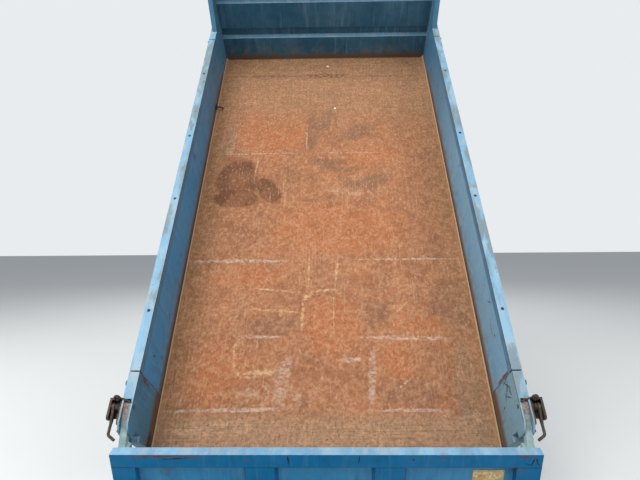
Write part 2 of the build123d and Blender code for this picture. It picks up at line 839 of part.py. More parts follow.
os.makedirs("parts", exist_ok=True)
for name, shape in nodes.items():
    export_step(shape, f"parts/{name}.step")

# Values that the joints need
lowered = cylinder_line(0)
raised = cylinder_line(tip_angle)
print("arm pivot", arm_pivot_y, arm_pivot_z, "angle", arm_angle(0), arm_angle(tip_angle))
print("cylinder lowered", lowered, "raised", raised)
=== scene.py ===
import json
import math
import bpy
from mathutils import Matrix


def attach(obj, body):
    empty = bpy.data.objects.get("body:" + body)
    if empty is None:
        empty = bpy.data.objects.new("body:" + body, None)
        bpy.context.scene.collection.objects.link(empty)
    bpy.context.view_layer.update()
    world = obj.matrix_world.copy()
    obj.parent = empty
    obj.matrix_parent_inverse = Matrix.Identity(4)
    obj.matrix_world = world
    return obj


bl_info = {
    "name": "Tipping body dressing",
    "version": (1, 0, 0),
    "blender": (4, 5, 0),
    "location": "View3D > Sidebar > Tipping body",
    "description": "Paint, rust, welds and small fittings for a light dump truck's tipping body",
    "category": "Object",
}

import bmesh
import bpy
from mathutils import Matrix, Vector

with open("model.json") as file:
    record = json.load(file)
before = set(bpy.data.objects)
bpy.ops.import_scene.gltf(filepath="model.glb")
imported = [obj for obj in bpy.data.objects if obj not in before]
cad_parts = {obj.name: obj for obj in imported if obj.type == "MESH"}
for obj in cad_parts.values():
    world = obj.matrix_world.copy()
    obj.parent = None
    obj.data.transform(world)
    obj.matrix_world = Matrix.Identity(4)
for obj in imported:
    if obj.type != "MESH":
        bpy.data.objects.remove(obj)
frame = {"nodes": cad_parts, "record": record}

JOINTS = {joint["name"]: joint for joint in frame["record"]["behaviour"]["joints"]}
TIP = JOINTS["bed_tip"]
SWING = JOINTS["tailgate_swing"]
LEVEL = Matrix.Identity(4)
# Bed frame to world: x right, s forward along the floor, h square to the floor, zero on the tip hinge
BED = Matrix.Translation(TIP["pos_m"]) @ Matrix.Rotation(-math.radians(TIP["range_deg"][0]), 4, "X")
# Gate frame to world: the bed's frame, swung open with the gate about its pivots
GATE = (Matrix.Translation(SWING["pos_m"]) @ Matrix.Rotation(math.radians(SWING["range_deg"][0]), 4, "X")
        @ Matrix.Translation(-Vector(SWING["pos_m"])) @ BED)
# Name of each side and its sense along x
SIDES = {"right": 1, "left": -1}

CATCH_IRON = "greasy catch iron"
FASTENER_ZINC = "zinc-plated fastener"
SIDE_PAINT = "chalky side enamel"
GATE_SKIN_PAINT = "chalky gate skin enamel"


def rgb(code):
    """Linear colour of an sRGB hex code."""
    values = [int(code[start:start + 2], 16) / 255 for start in (1, 3, 5)]
    return [value / 12.92 if value <= 0.04045 else ((value + 0.055) / 1.055) ** 2.4 for value in values]


def solids(node, place=LEVEL):
    """Low and high corner of each solid in a CAD node, along the axes of place, left to right and rear to front."""
    mesh = frame["nodes"][node].data
    back = place.inverted()
    first = {}
    owner = []
    for vertex in mesh.vertices:
        key = tuple(round(value, 5) for value in vertex.co)
        owner.append(first.setdefault(key, len(first)))
    root = list(range(len(first)))

    def find(item):
        while root[item] != item:
            root[item] = root[root[item]]
            item = root[item]
        return item

    for edge in mesh.edges:
        root[find(owner[edge.vertices[0]])] = find(owner[edge.vertices[1]])
    boxes = {}
    for vertex in mesh.vertices:
        point = back @ vertex.co
        box = boxes.setdefault(find(owner[vertex.index]), [point.copy(), point.copy()])
        box[0] = Vector(map(min, box[0], point))
        box[1] = Vector(map(max, box[1], point))
    return sorted(boxes.values(), key=lambda box: (round(box[0].x, 3), round(box[0].y, 3)))


def span(node, place=LEVEL):
    """Low and high corner of a whole CAD node, along the axes of place."""
    lows, highs = zip(*solids(node, place))
    return Vector(map(min, zip(*lows))), Vector(map(max, zip(*highs)))


def both(*names):
    """Names of the right and left node of each pair."""
    return tuple(f"{name}_{side}" for name in names for side in SIDES)


def length(name, description, default, low, high):
    """Property for a length in metres."""
    return bpy.props.FloatProperty(
        name=name, description=description, default=default, min=low, max=high, subtype="DISTANCE", unit="LENGTH")


def tint(name, description, code):
    """Property for a colour, from an sRGB hex code."""
    return bpy.props.FloatVectorProperty(
        name=name, description=description, subtype="COLOR", min=0, max=1, default=rgb(code))


class BodySizes(bpy.types.PropertyGroup):
    weld_width: length("Weld width", "Width of the weld beads", 0.007, 0.003, 0.02)
    bolt_flats: length("Bolt head", "Width across the flats of the bolt heads", 0.024, 0.01, 0.04)
    drain_radius: length("Rail hole", "Radius of the holes in the side rails' tops", 0.007, 0.003, 0.015)
    plate_width: length("Gate plate", "Width of the blank plate on the tailgate", 0.127, 0.05, 0.2)


class BodyColours(bpy.types.PropertyGroup):
    gate_blue: tint("Gate blue", "Paint of the tailgate's rails and ribs", "#04608d")
    bed_blue: tint("Bed blue", "Paint of the headboard", "#1b4e66")
    # On up-facing faces this paint also stands for painted light from above, on top of the sun's fading
    bleached: tint("Bleached blue", "Paint on the top faces, faded by the sun", "#8fb8d2")
    rust: tint("Rust", "Rust that shows through the paint", "#6e3f26")
    floor_orange: tint("Floor rust", "Orange rust of the floor plate", "#b37651")
    floor_dust: tint("Floor dust", "Pale dust dried in lines on the floor plate", "#dcc0ac")
    hinge_grey: tint("Hinge grey", "Old grey-green paint of the gate's arms", "#8fa5a3")
    frame_black: tint("Frame black", "Chassis paint of the sub-frame and hoist", "#26282a")


# Materials
def add(tree, kind, inputs=None, **settings):
    """New node with its settings and inputs; an input given as a socket is linked, and any other is a value."""
    node = tree.nodes.new(kind)
    for key, value in settings.items():
        setattr(node, key, value)
    for key, value in (inputs or {}).items():
        if isinstance(value, bpy.types.NodeSocket):
            tree.links.new(value, node.inputs[key])
        else:
            node.inputs[key].default_value = value
    return node


# For the plane of a mark: its first and second axis, the axis square to them, and the sense of a mark's turn
PLANES = {"floor": (0, 1, 2, 1), "wall": (1, 2, 0, 1), "gate": (0, 2, 1, -1)}


class Coat:
    """Material under way, with the place in metres along the given axes and how far the surface faces their up."""

    def __init__(self, name, axes=BED):
        material = bpy.data.materials.new(name)
        material.use_nodes = True
        self.tree = material.node_tree
        self.tree.nodes.clear()
        where = add(self.tree, "ShaderNodeTexCoord")
        back = axes.inverted()
        self.place = add(self.tree, "ShaderNodeMapping", {
            "Vector": where.outputs["Object"], "Location": back.to_translation(),
            "Rotation": back.to_euler()}).outputs[0]
        self.facing = add(self.tree, "ShaderNodeVectorMath", {
            0: where.outputs["Normal"], 1: axes.to_3x3() @ Vector((0, 0, 1))},
            operation="DOT_PRODUCT").outputs["Value"]

    def spots(self, size, low, high, stretch=(1, 1, 1), detail=4.0, shift=0.0):
        """Mask of soft spots some size millimetres wide, drawn out by stretch, between a low and a high noise level."""
        turned = add(self.tree, "ShaderNodeMapping", {
            "Vector": self.place, "Location": (shift, 2 * shift, 3 * shift),
            "Scale": [1 / value for value in stretch]})
        noise = add(self.tree, "ShaderNodeTexNoise", {
            "Vector": turned.outputs[0], "Scale": 1000 / size, "Detail": detail, "Roughness": 0.62})
        return add(self.tree, "ShaderNodeMapRange", {
            "Value": noise.outputs[0], "From Min": low, "From Max": high},
            interpolation_type="SMOOTHSTEP").outputs[0]

    def distance(self, axis):
        """Distance from the axes' origin along one of them."""
        parts = add(self.tree, "ShaderNodeSeparateXYZ", {0: self.place})
        return add(self.tree, "ShaderNodeMath", {0: parts.outputs[axis]}, operation="ABSOLUTE").outputs[0]

    def band(self, axis, full, gone):
        """Mask that is 1 at the place full along an axis and 0 at the place gone."""
        parts = add(self.tree, "ShaderNodeSeparateXYZ", {0: self.place})
        return add(self.tree, "ShaderNodeMapRange", {
            "Value": parts.outputs[axis], "From Min": gone, "From Max": full},
            interpolation_type="SMOOTHSTEP").outputs[0]

    def product(self, *masks):
        """Masks or strengths multiplied together."""
        result = masks[0]
        for mask in masks[1:]:
            result = add(self.tree, "ShaderNodeMath", {0: result, 1: mask}, operation="MULTIPLY").outputs[0]
        return result

    def laid_over(self, ground, layers):
        """Colour of the ground under layers, the last one on top. A layer is a colour, then masks or strengths."""
        for tone, *masks in layers:
            under, over = (
                colour if isinstance(colour, bpy.types.NodeSocket)
                else (*(rgb(colour) if isinstance(colour, str) else colour), 1.0) for colour in (ground, tone))
            ground = add(self.tree, "ShaderNodeMix", {0: self.product(*masks), 6: under, 7: over},
                         data_type="RGBA").outputs[2]
        return ground

    def marks(self, plane, table, fray, grit):
        """Masks by name of frayed ellipses in a plane, from rows of centre, half sizes and turn in degrees.
        Their edges wander by fray metres, over waves of a size that falls with grit, and fade in between the
        shares outer and core of the half sizes."""
        swirl = add(self.tree, "ShaderNodeTexNoise", {
            "Vector": self.place, "Scale": grit, "Detail": 5.0, "Roughness": 0.65})
        moved = add(self.tree, "ShaderNodeVectorMath", {
            0: swirl.outputs["Color"], 1: (0.5, 0.5, 0.5)}, operation="SUBTRACT")
        frayed = add(self.tree, "ShaderNodeVectorMath", {
            0: moved.outputs[0], 1: (fray, fray, fray), 2: self.place}, operation="MULTIPLY_ADD")
        first, second, normal, sense = PLANES[plane]
        outer, core, endless = 1.25, 0.65, 100.0
        masks = {}
        for name, rows in table.items():
            for a, b, half_a, half_b, turn in rows:
                centre, half, ways = [0.0] * 3, [endless] * 3, [0.0] * 3
                centre[first], centre[second] = a, b
                half[first], half[second] = half_a, half_b
                ways[normal] = sense * math.radians(turn)
                inside = add(self.tree, "ShaderNodeMapping", {
                    "Vector": frayed.outputs[0], "Location": centre, "Rotation": ways, "Scale": half},
                    vector_type="TEXTURE")
                reach = add(self.tree, "ShaderNodeVectorMath", {0: inside.outputs[0]}, operation="LENGTH")
                mask = add(self.tree, "ShaderNodeMapRange", {
                    "Value": reach.outputs["Value"], "From Min": outer, "From Max": core},
                    interpolation_type="SMOOTHSTEP").outputs[0]
                masks[name] = add(self.tree, "ShaderNodeMath", {
                    0: masks[name], 1: mask}, operation="MAXIMUM").outputs[0] if name in masks else mask
        return masks

    def finish(self, colour, wear, fresh, worn, height, depth, metallic=0.0, shine=0.5):
        """Joins to the surface its colour, a roughness from fresh to worn along the mask wear, and a bump height,
        depth in millimetres."""
        roughness = add(self.tree, "ShaderNodeMapRange", {"Value": wear, "To Min": fresh, "To Max": worn})
        bump = add(self.tree, "ShaderNodeBump", {"Height": height, "Strength": 0.9, "Distance": depth / 1000})
        shader = add(self.tree, "ShaderNodeBsdfPrincipled", {
            "Base Color": colour, "Roughness": roughness.outputs[0], "Normal": bump.outputs[0],
            "Metallic": metallic, "Specular IOR Level": shine})
        add(self.tree, "ShaderNodeOutputMaterial", {"Surface": shader.outputs[0]})


# Scratches and scrapes: the plane they lie in, the axis and levels of the band that has them, and by colour rows of
# centre, half sizes and turn in degrees
GATE_SCARS = (
    ("gate", (1, -0.119, -0.112), {
        "rust": ((-0.68, 0.2775, 0.1, 0.005, 1), (-0.54, 0.274, 0.075, 0.0035, -1), (0.79, 0.276, 0.04, 0.004, 0)),
        "dark": ((-0.145, 0.262, 0.0035, 0.02, 8), (0.135, 0.262, 0.003, 0.02, -6), (-0.6, 0.268, 0.05, 0.003, 2),
                 (0.818, 0.252, 0.003, 0.02, -22), (0.838, 0.25, 0.003, 0.021, 24), (0.8, 0.24, 0.014, 0.0025, -30),
                 (0.35, 0.262, 0.006, 0.003, 0))}),)
WALL_SCARS = (
    ("wall", (0, 0.5, 0.3), {
        "rust": ((0.188, 0.3, 0.008, 0.09, 0),),
        "dark": ((0.172, 0.33, 0.003, 0.06, -14), (0.15, 0.32, 0.003, 0.05, 32), (0.13, 0.32, 0.045, 0.003, 28),
                 (0.125, 0.3, 0.003, 0.045, -38), (0.1, 0.31, 0.003, 0.035, 24), (0.115, 0.345, 0.03, 0.003, -20),
                 (0.1, 0.28, 0.025, 0.0025, 40), (0.074, 0.232, 0.006, 0.006, 0), (0.389, 0.308, 0.006, 0.006, 0),
                 (0.55, 0.34, 0.003, 0.03, 30))}),
    ("wall", (0, -0.5, -0.3), {
        "rust": ((0.166, 0.335, 0.011, 0.055, -8),),
        "dark": ((0.178, 0.36, 0.003, 0.04, 0), (0.3, 0.29, 0.004, 0.012, 10), (0.288, 0.24, 0.004, 0.012, -12),
                 (-0.05, 0.14, 0.05, 0.02, 0))}))
SCAR_COLOURS = (("rust", "#623c2c"), ("dark", "#241d19"))

# Levels in the bed's axes of the painted shadow line under the walls' tops: where it is full, and where it is gone
SHADOW_LINE_BELOW = (0.4165, 0.4115)
SHADOW_LINE_ABOVE = (0.4205, 0.422)
# Depths behind a wall's inner face between which the load's dirt ends
DIRT_DEPTH = (0.0014, 0.0024)


def enamel(name, axes, paint, colours, bleach=0.0, chips=0.5, rubbed=0.0, floor_dirt=0.0, dirt_top=0.14,
           streaks=0.5, dust=0.0, fade=0.2, rim=0.0, rail_shadow_level=0.0, inner=None, grime=0.0, side_light_and_front_shade=0.0, shine=0.25,
           scars=()):
    """Old enamel on steel: cloudy fading, bleached where it faces up, with painted light from above on those faces,
    chips and worn edges with rust in them, runs of dirt down the walls, rub marks along the bed, brown dirt above
    the floor, a painted shadow line under the top's inner edge, a painted shadow line under a rail's lower edge, and
    painted light over the right side, chalky in spots, with painted shade that darkens the walls to the front. The
    dirt and the scars stay on the load's side of inner, an axis and a place along it."""
    coat = Coat(name, axes)
    tree = coat.tree
    clouds = coat.spots(420, 0.35, 0.68)
    chalk = coat.spots(60, 0.45, 0.7, shift=3.0)
    # Mask of the up-facing faces, which get sun-bleaching with painted light from above, grime and dust
    top = add(tree, "ShaderNodeMapRange", {"Value": coat.facing, "From Min": 0.55, "From Max": 0.9}).outputs[0]
    bare_top = coat.spots(130, 0.35, 0.6, stretch=(1, 2.5, 1), detail=7.0, shift=5.0)
    scoured = coat.spots(45, 0.48, 0.64, stretch=(1, 3, 1), detail=7.0, shift=41.0)
    grimy = coat.spots(70, 0.46, 0.58, stretch=(1, 3, 1), detail=9.0, shift=53.0)
    runs = coat.spots(34, 0.5, 0.72, stretch=(1, 1, 9), shift=7.0)
    pale_runs = coat.spots(26, 0.52, 0.7, stretch=(1, 1, 12), shift=43.0)
    specks = coat.spots(9, 0.66 - 0.05 * chips, 0.7, detail=6.0, shift=11.0)
    scuffs = coat.spots(110, 0.62 - 0.04 * chips, 0.7, detail=8.0, shift=13.0)
    lines = coat.spots(5, 0.6, 0.68, stretch=(1, 70, 1.6), detail=3.0, shift=17.0)
    rub_zone = coat.spots(260, 0.45, 0.65, stretch=(1, 1.6, 1), shift=19.0)
    rounded = add(tree, "ShaderNodeBevel", {"Radius": 0.004}, samples=4)
    plain = add(tree, "ShaderNodeNewGeometry")
    turn = add(tree, "ShaderNodeVectorMath", {
        0: rounded.outputs[0], 1: plain.outputs["Normal"]}, operation="DOT_PRODUCT")
    edge = add(tree, "ShaderNodeMapRange", {"Value": turn.outputs["Value"], "From Min": 0.985, "From Max": 0.86})
    worn_edge = coat.product(edge.outputs[0], coat.spots(24, 0.42, 0.58, detail=6.0, shift=23.0))
    dirt = coat.product(coat.band(2, dirt_top - 0.05, dirt_top),
                        coat.spots(120, 0.2, 0.45, stretch=(1, 2, 1), detail=7.0, shift=29.0))
    stained = coat.product(coat.band(2, dirt_top, dirt_top + 0.08),
                           coat.spots(60, 0.42, 0.64, detail=7.0, shift=31.0))
    # Painted light: mask of the right side, paler as if lit, broken up in chalky spots and fading out to the front
    painted_side_light = coat.product(coat.band(0, 0.7, 0.3), coat.band(1, 1.4, 2.8),
                           coat.spots(180, 0.1, 0.5, shift=59.0))
    loaded = 1.0
    if inner:
        axis, face = inner
        near, far = DIRT_DEPTH
        loaded = add(tree, "ShaderNodeMapRange", {
            "Value": coat.distance(axis), "From Min": face + far, "From Max": face + near}).outputs[0]
        dirt, stained = coat.product(dirt, loaded), coat.product(stained, loaded)

    def faded(share):
        """Paint that the sun has bleached by a share."""
        return [(1 - share) * fresh + share * pale for fresh, pale in zip(paint, colours.bleached)]

    dark = [0.55 * fresh for fresh in paint]
    layers = [
        (faded(0.45), clouds, fade),
        (dark, chalk, 0.3),
        (dark, runs, 0.5 * streaks),
        (faded(0.45), pale_runs, 0.3 * streaks),
        # Painted light over the right side, then painted shade that darkens the walls to the front
        ("#b4ccc7", painted_side_light, side_light_and_front_shade),
        ("#4d5249", coat.band(1, 2.6, 1.4), 1.4 * side_light_and_front_shade),
        # Painted light: up-facing faces paler, sun-bleached paint with painted light from above in it, also in the bare
        # and scoured patches on top
        (colours.bleached, top, bleach),
        (faded(0.55), top, bare_top, 0.75 * bleach),
        ("#a9b3b4", top, scoured, 0.55 * bleach),
        ("#75807f", top, grimy, grime),
        ("#9aa7ab", lines, rub_zone, rubbed),
        ("#7c8a8c", rub_zone, 0.3 * rubbed),
        (colours.rust, scuffs, 0.75 * chips),
        ("#4b3022", specks, chips),
        ("#6d5a50", worn_edge, 0.7),
        ("#bdbfb8", worn_edge, top, 0.8),
        ("#6b6152", stained, 0.5 * floor_dirt),
        ("#60462f", dirt, floor_dirt),
        ("#8d8679", top, dust),
    ]
    # Painted shadow: a dark line under the inner edge of the top, on upright faces only, broken up in spots
    if rim:
        upright = add(tree, "ShaderNodeMath", {0: 1.0, 1: top}, operation="SUBTRACT").outputs[0]
        layers.append(("#3d2e25", coat.band(2, *SHADOW_LINE_BELOW), coat.band(2, *SHADOW_LINE_ABOVE), upright,
                       coat.spots(90, 0.25, 0.42, shift=37.0), rim))
    # Painted shadow: a thin dark line at the given level, under a rail's lower edge
    if rail_shadow_level:
        layers.append(("#142a38", coat.band(2, rail_shadow_level, rail_shadow_level - 0.003), coat.band(2, rail_shadow_level, rail_shadow_level + 0.003),
                       coat.spots(60, 0.2, 0.5, shift=47.0), 0.8))
    for plane, (axis, full, gone), rows in scars:
        found = coat.marks(plane, rows, 0.012, 60.0)
        side = coat.band(axis, full, gone)
        bits = coat.spots(12, 0.3, 0.5, detail=6.0, shift=39.0)
        layers += [(code, found[kind], side, bits, loaded) for kind, code in SCAR_COLOURS]
    rust = add(tree, "ShaderNodeMath", {0: specks, 1: scuffs}, operation="MAXIMUM").outputs[0]
    height = add(tree, "ShaderNodeMath", {0: clouds, 1: coat.product(rust, -0.4)}, operation="ADD").outputs[0]
    coat.finish(coat.laid_over(paint, layers), rust, 0.5, 0.85, height, 1.2, shine=shine)


# Worn places of the floor plate, by kind: rows of x, s, half width, half length and turn in degrees, in the bed's axes
FLOOR_PATCHES = {
    "stain": ((-0.57, 1.6, 0.14, 0.2, 0), (-0.57, 1.44, 0.15, 0.07, 0), (-0.37, 1.51, 0.07, 0.13, 32)),
    "shade": ((0.68, 0.68, 0.11, 0.15, 0), (-0.27, 0.56, 0.16, 0.06, 0), (0.26, 0.62, 0.08, 0.08, 0),
              (0.42, 0.19, 0.16, 0.07, 0)),
    "grey": ((0.71, 0.17, 0.08, 0.26, 0), (-0.69, 1.96, 0.06, 0.2, -10)),
    "orange": ((0.03, 0.55, 0.18, 0.18, 0), (-0.57, 0.3, 0.19, 0.17, 0), (0.38, 0.36, 0.1, 0.1, 0),
               (-0.38, 2.09, 0.27, 0.26, 0), (0.1, 1.2, 0.45, 0.2, 0), (0.3, 1.8, 0.2, 0.07, 12),
               (-0.45, 0.85, 0.2, 0.08, 0), (0.5, 0.55, 0.15, 0.07, 0)),
    "pale": ((-0.66, 1.9, 0.03, 0.09, 0), (0.2, 1.5, 0.18, 0.04, 0), (-0.25, 0.17, 0.2, 0.05, 0),
             (0.66, 0.08, 0.12, 0.04, 0), (-0.5, 0.02, 0.25, 0.03, 0)),
}
FLOOR_MARKS = {
    "dust": ((-0.48, 0.962, 0.3, 0.012, 0), (0.47, 0.97, 0.3, 0.006, 0), (0.43, 0.48, 0.23, 0.012, -1),
             (-0.34, 0.487, 0.12, 0.008, 0), (-0.46, 0.11, 0.3, 0.011, 1), (0.42, 0.108, 0.16, 0.009, 0),
             (-0.45, 1.843, 0.24, 0.005, 1), (0.16, 1.846, 0.24, 0.004, 0), (0.13, 0.36, 0.055, 0.013, 5)),
    "trail": ((-0.215, 0.25, 0.035, 0.14, -10), (0.232, 0.26, 0.02, 0.16, -5)),
    "smudge": ((-0.09, 2.06, 0.05, 0.21, 0), (-0.02, 2.15, 0.06, 0.17, -24), (0.22, 2.05, 0.13, 0.07, 30),
               (0.02, 1.755, 0.13, 0.03, 2), (0.09, 1.69, 0.12, 0.03, -6), (0.27, 1.57, 0.17, 0.055, 16),
               (-0.08, 1.6, 0.035, 0.045, 0)),
    "scratch": ((-0.26, 0.766, 0.13, 0.007, -5), (-0.27, 0.64, 0.15, 0.008, -5), (-0.092, 0.89, 0.005, 0.12, 0),
                (0.066, 0.89, 0.005, 0.12, -6), (0.0, 0.765, 0.06, 0.009, 5), (-0.09, 0.733, 0.05, 0.012, 42),
                (-0.122, 0.62, 0.009, 0.09, 0), (0.046, 0.63, 0.004, 0.13, 0), (0.42, 0.66, 0.056, 0.007, 43),
                (0.395, 0.24, 0.046, 0.006, 40), (-0.458, 0.46, 0.041, 0.008, 63), (-0.466, 0.368, 0.008, 0.056, 10),
                (-0.435, 0.286, 0.036, 0.008, -53), (-0.33, 0.29, 0.09, 0.02, 8), (-0.459, 1.69, 0.006, 0.11, -3),
                (-0.125, 2.0, 0.005, 0.13, 0)),
    "dark": ((-0.47, 2.705, 0.3, 0.012, 0), (0.0, 2.7, 0.2, 0.03, 0), (0.45, 2.69, 0.32, 0.008, -1),
             (-0.235, 0.4, 0.02, 0.016, 0), (0.66, 2.865, 0.045, 0.018, 0)),
    "hole": ((0.026, 2.825, 0.009, 0.01, 0), (0.077, 2.31, 0.008, 0.009, 0)),
}
# Distances in from the floor plate's edge where the bright crest and the dark crease of its turn-up start and are full
CREST = (0.007, 0.004)
CREASE = (0.024, 0.014)
# Distances from the bed's middle where its browner margins start and are full
MARGIN = (0.6, 0.78)


def rusted_floor(name, colours):
    """Bare steel floor plate, rusted orange and brown in clouds with a coarse grain, with dust dried on the
    cross-members' lines, dark stains, pale drag marks and hairlines, browner edges, and dull paint underneath."""
    coat = Coat(name)
    tree = coat.tree
    edge = span("bed_floor", BED)[1].x
    broad = coat.spots(480, 0.38, 0.64, detail=5.0)
    blotches = coat.spots(120, 0.42, 0.62, detail=8.0, shift=3.0)
    mottle = coat.spots(36, 0.42, 0.62, detail=6.0, shift=4.0)
    grain = coat.spots(16, 0.44, 0.6, detail=6.0, shift=5.0)
    sparkle = coat.spots(14, 0.52, 0.66, stretch=(1, 1.8, 1), detail=6.0, shift=6.0)
    pits = coat.spots(10, 0.6, 0.68, shift=7.0)
    drag = coat.spots(7, 0.54, 0.68, stretch=(1, 50, 1), detail=3.0, shift=11.0)
    cross = coat.spots(9, 0.48, 0.64, stretch=(40, 1, 1), shift=13.0)
    rubbed = coat.spots(300, 0.45, 0.6, shift=17.0)
    broken = coat.spots(16, 0.36, 0.6, stretch=(1.8, 1, 1), detail=8.0, shift=19.0)
    zone = coat.marks("floor", FLOOR_PATCHES, 0.09, 9.0)
    line = coat.marks("floor", FLOOR_MARKS, 0.022, 40.0)
    across = coat.distance(0)
    crest, crease = (add(tree, "ShaderNodeMapRange", {
        "Value": across, "From Min": edge - start, "From Max": edge - full}).outputs[0]
        for start, full in (CREST, CREASE))
    margin = add(tree, "ShaderNodeMapRange", {
        "Value": across, "From Min": MARGIN[0], "From Max": MARGIN[1]}, interpolation_type="SMOOTHSTEP").outputs[0]
    under = add(tree, "ShaderNodeMapRange", {"Value": coat.facing, "From Min": -0.2, "From Max": -0.6}).outputs[0]
    stained = add(tree, "ShaderNodeMapRange", {
        "Value": zone["stain"], "From Min": 0.2, "From Max": 0.75}).outputs[0]
    front_dust = coat.band(1, 2.5, 1.95)
    rear_dust = coat.band(1, 0.03, 0.13)
    sideways = add(tree, "ShaderNodeMath", {0: front_dust, 1: rear_dust}, operation="MAXIMUM").outputs[0]
    colour = coat.laid_over(colours.floor_orange, [
        ("#9f6a48", broad, 0.6),
        ("#8f5f44", blotches, 0.6),
        ("#bb6f43", zone["orange"], 0.55),
        ("#87604b", zone["shade"], 0.6),
        ("#998069", zone["grey"], 0.5),
        ("#94734f", margin, 0.45),
        ("#a98261", front_dust, 0.6),
        ("#90714f", coat.band(1, 2.8, 2.6), 0.55),
        ("#ab8b6c", rear_dust, 0.75),
        ("#c6a286", zone["pale"], mottle, 0.7),
        ("#cc9770", mottle, 0.42),
        ("#80614c", line["smudge"], 0.55),
        ("#68402a", stained, 0.62),
        ("#4f3020", stained, blotches, 0.45),
        ("#8b6e53", sideways, cross, 0.55),
        ("#d3a27b", drag, rubbed, 0.5),
        ("#c9ab98", line["trail"], broken, 0.75),
        ("#5b4130", line["dark"], broken, 0.75),
        (colours.floor_dust, line["dust"], broken, 0.7),
        ("#deb084", line["scratch"], broken, 0.85),
        ("#7d543c", grain, 0.4),
        ("#dbb08c", sparkle, 0.3),
        ("#4f3424", pits, 0.7),
        ("#82664a", crease, 0.4),
        ("#c2a27c", crest, 0.8),
        ("#f3e9d6", line["hole"]),
        ("#2c4453", under),
        ("#4a4a45", under, blotches, 0.45),
        ("#5f3f2c", under, mottle, 0.35),
    ])
    height = add(tree, "ShaderNodeMath", {
        0: coat.product(grain, -0.3), 1: coat.product(broad, 1.5)}, operation="ADD").outputs[0]
    coat.finish(colour, grain, 0.72, 0.92, height, 1.5, shine=0.2)


def hinge_paint(name, colours):
    """Grey-green paint gone chalky on the gate's arms, rusted brown where they turn on their pins, with the gate's
    pale blue at their feet."""
    coat = Coat(name, GATE)
    pin = span("post_catches", BED)[0].y
    worn = coat.band(1, pin + 0.13, pin + 0.05)
    feet = coat.band(1, -0.125, -0.08)
    mottle = coat.spots(40, 0.4, 0.62, detail=6.0)
    rust = coat.spots(18, 0.42, 0.6, detail=7.0, shift=3.0)
    colour = coat.laid_over(colours.hinge_grey, [
        ("#6f8a93", mottle, 0.6),
        ("#7fb0cf", feet, 0.8),
        ("#8a7364", worn, 0.6),
        (colours.rust, worn, rust, 0.8),
        ("#4b3022", coat.spots(7, 0.62, 0.7, detail=5.0, shift=5.0), 0.7),
    ])
    coat.finish(colour, mottle, 0.55, 0.8, rust, 0.6)


def greasy_iron(name, colours):
    """Forged iron black with old grease, brown where it has rusted dry, with bright rubbed spots."""
    coat = Coat(name)
    grease = coat.spots(30, 0.4, 0.6, detail=6.0)
    rust = coat.spots(16, 0.5, 0.64, detail=7.0, shift=3.0)
    colour = coat.laid_over("#3d352b", [
        ("#1d1a16", grease, 0.85),
        (colours.rust, rust, 0.6),
        ("#84807a", coat.spots(12, 0.6, 0.7, shift=5.0), 0.5),
    ])
    coat.finish(colour, grease, 0.75, 0.38, rust, 0.8, metallic=0.25)


def chassis_paint(name, base, dust=0.6, grease=0.0):
    """Black chassis paint: satin, with road dust lying on what faces up, dull stains, small rust chips and,
    on the hoist, wet grease."""
    coat = Coat(name, LEVEL)
    settled = add(coat.tree, "ShaderNodeMapRange", {
        "Value": coat.facing, "From Min": 0.2, "From Max": 0.95}).outputs[0]
    drift = coat.spots(160, 0.3, 0.62, detail=7.0)
    slick = coat.product(coat.spots(45, 0.42, 0.6, detail=3.0, shift=7.0), grease)
    colour = coat.laid_over(base, [
        ("#3d3a35", coat.spots(70, 0.45, 0.66, detail=5.0, shift=3.0), 0.5),
        ("#5f3a24", coat.spots(12, 0.64, 0.7, detail=6.0, shift=5.0), 0.8),
        ("#6d675c", drift, 0.3 * dust),
        ("#857c6c", settled, drift, dust),
        ("#0d0c0b", slick),
    ])
    coat.finish(colour, slick, 0.62, 0.22, drift, 0.6)


def turned_steel(name, base, rough, along):
    """Machined steel with fine turning marks drawn out along an axis, a faint oil film and a few brown spots. The
    marks are coarser than real ones, so that they show."""
    coat = Coat(name, LEVEL)
    grooves = coat.spots(2.5, 0.35, 0.65, stretch=along, detail=2.0)
    colour = coat.laid_over(base, [
        ("#6f6a60", coat.spots(55, 0.4, 0.65, shift=3.0), 0.35),
        ("#5b4432", coat.spots(10, 0.64, 0.7, detail=5.0, shift=5.0), 0.5),
    ])
    coat.finish(colour, grooves, rough, rough + 0.14, grooves, 0.05, metallic=1.0)


def zinc_plate(name):
    """Zinc-plated fasteners gone dull grey, with white bloom and spots of brown rust."""
    coat = Coat(name, LEVEL)
    bloom = coat.spots(8, 0.45, 0.62, detail=5.0)
    rust = coat.spots(14, 0.52, 0.64, detail=6.0, shift=3.0)
    colour = coat.laid_over("#8f9296", [("#b6b6b0", bloom, 0.5), ("#6b4128", rust, 0.7)])
    coat.finish(colour, rust, 0.42, 0.85, bloom, 0.2, metallic=0.7)


def plate_film(name):
    """Cream vinyl on the blank gate plate, yellowed, scuffed and dirty in spots and streaks."""
    coat = Coat(name, GATE)
    scuffs = coat.spots(9, 0.52, 0.64, detail=7.0, shift=3.0)
    colour = coat.laid_over("#dcc593", [
        ("#bd9150", coat.spots(32, 0.4, 0.6, detail=6.0), 0.75),
        ("#8f6a3a", coat.spots(16, 0.5, 0.6, stretch=(4, 1, 1), shift=5.0), 0.5),
        ("#7d5d3c", scuffs, 0.6),
    ])
    coat.finish(colour, scuffs, 0.4, 0.75, scuffs, 0.1)


def studio_paper(name):
    """Pale seamless paper of the stage's floor, without gloss."""
    material = bpy.data.materials.new(name)
    material.use_nodes = True
    tree = material.node_tree
    tree.nodes.clear()
    shader = add(tree, "ShaderNodeBsdfDiffuse", {"Color": (*rgb("#dcdcda"), 1.0)})
    add(tree, "ShaderNodeOutputMaterial", {"Surface": shader.outputs[0]})
    return material


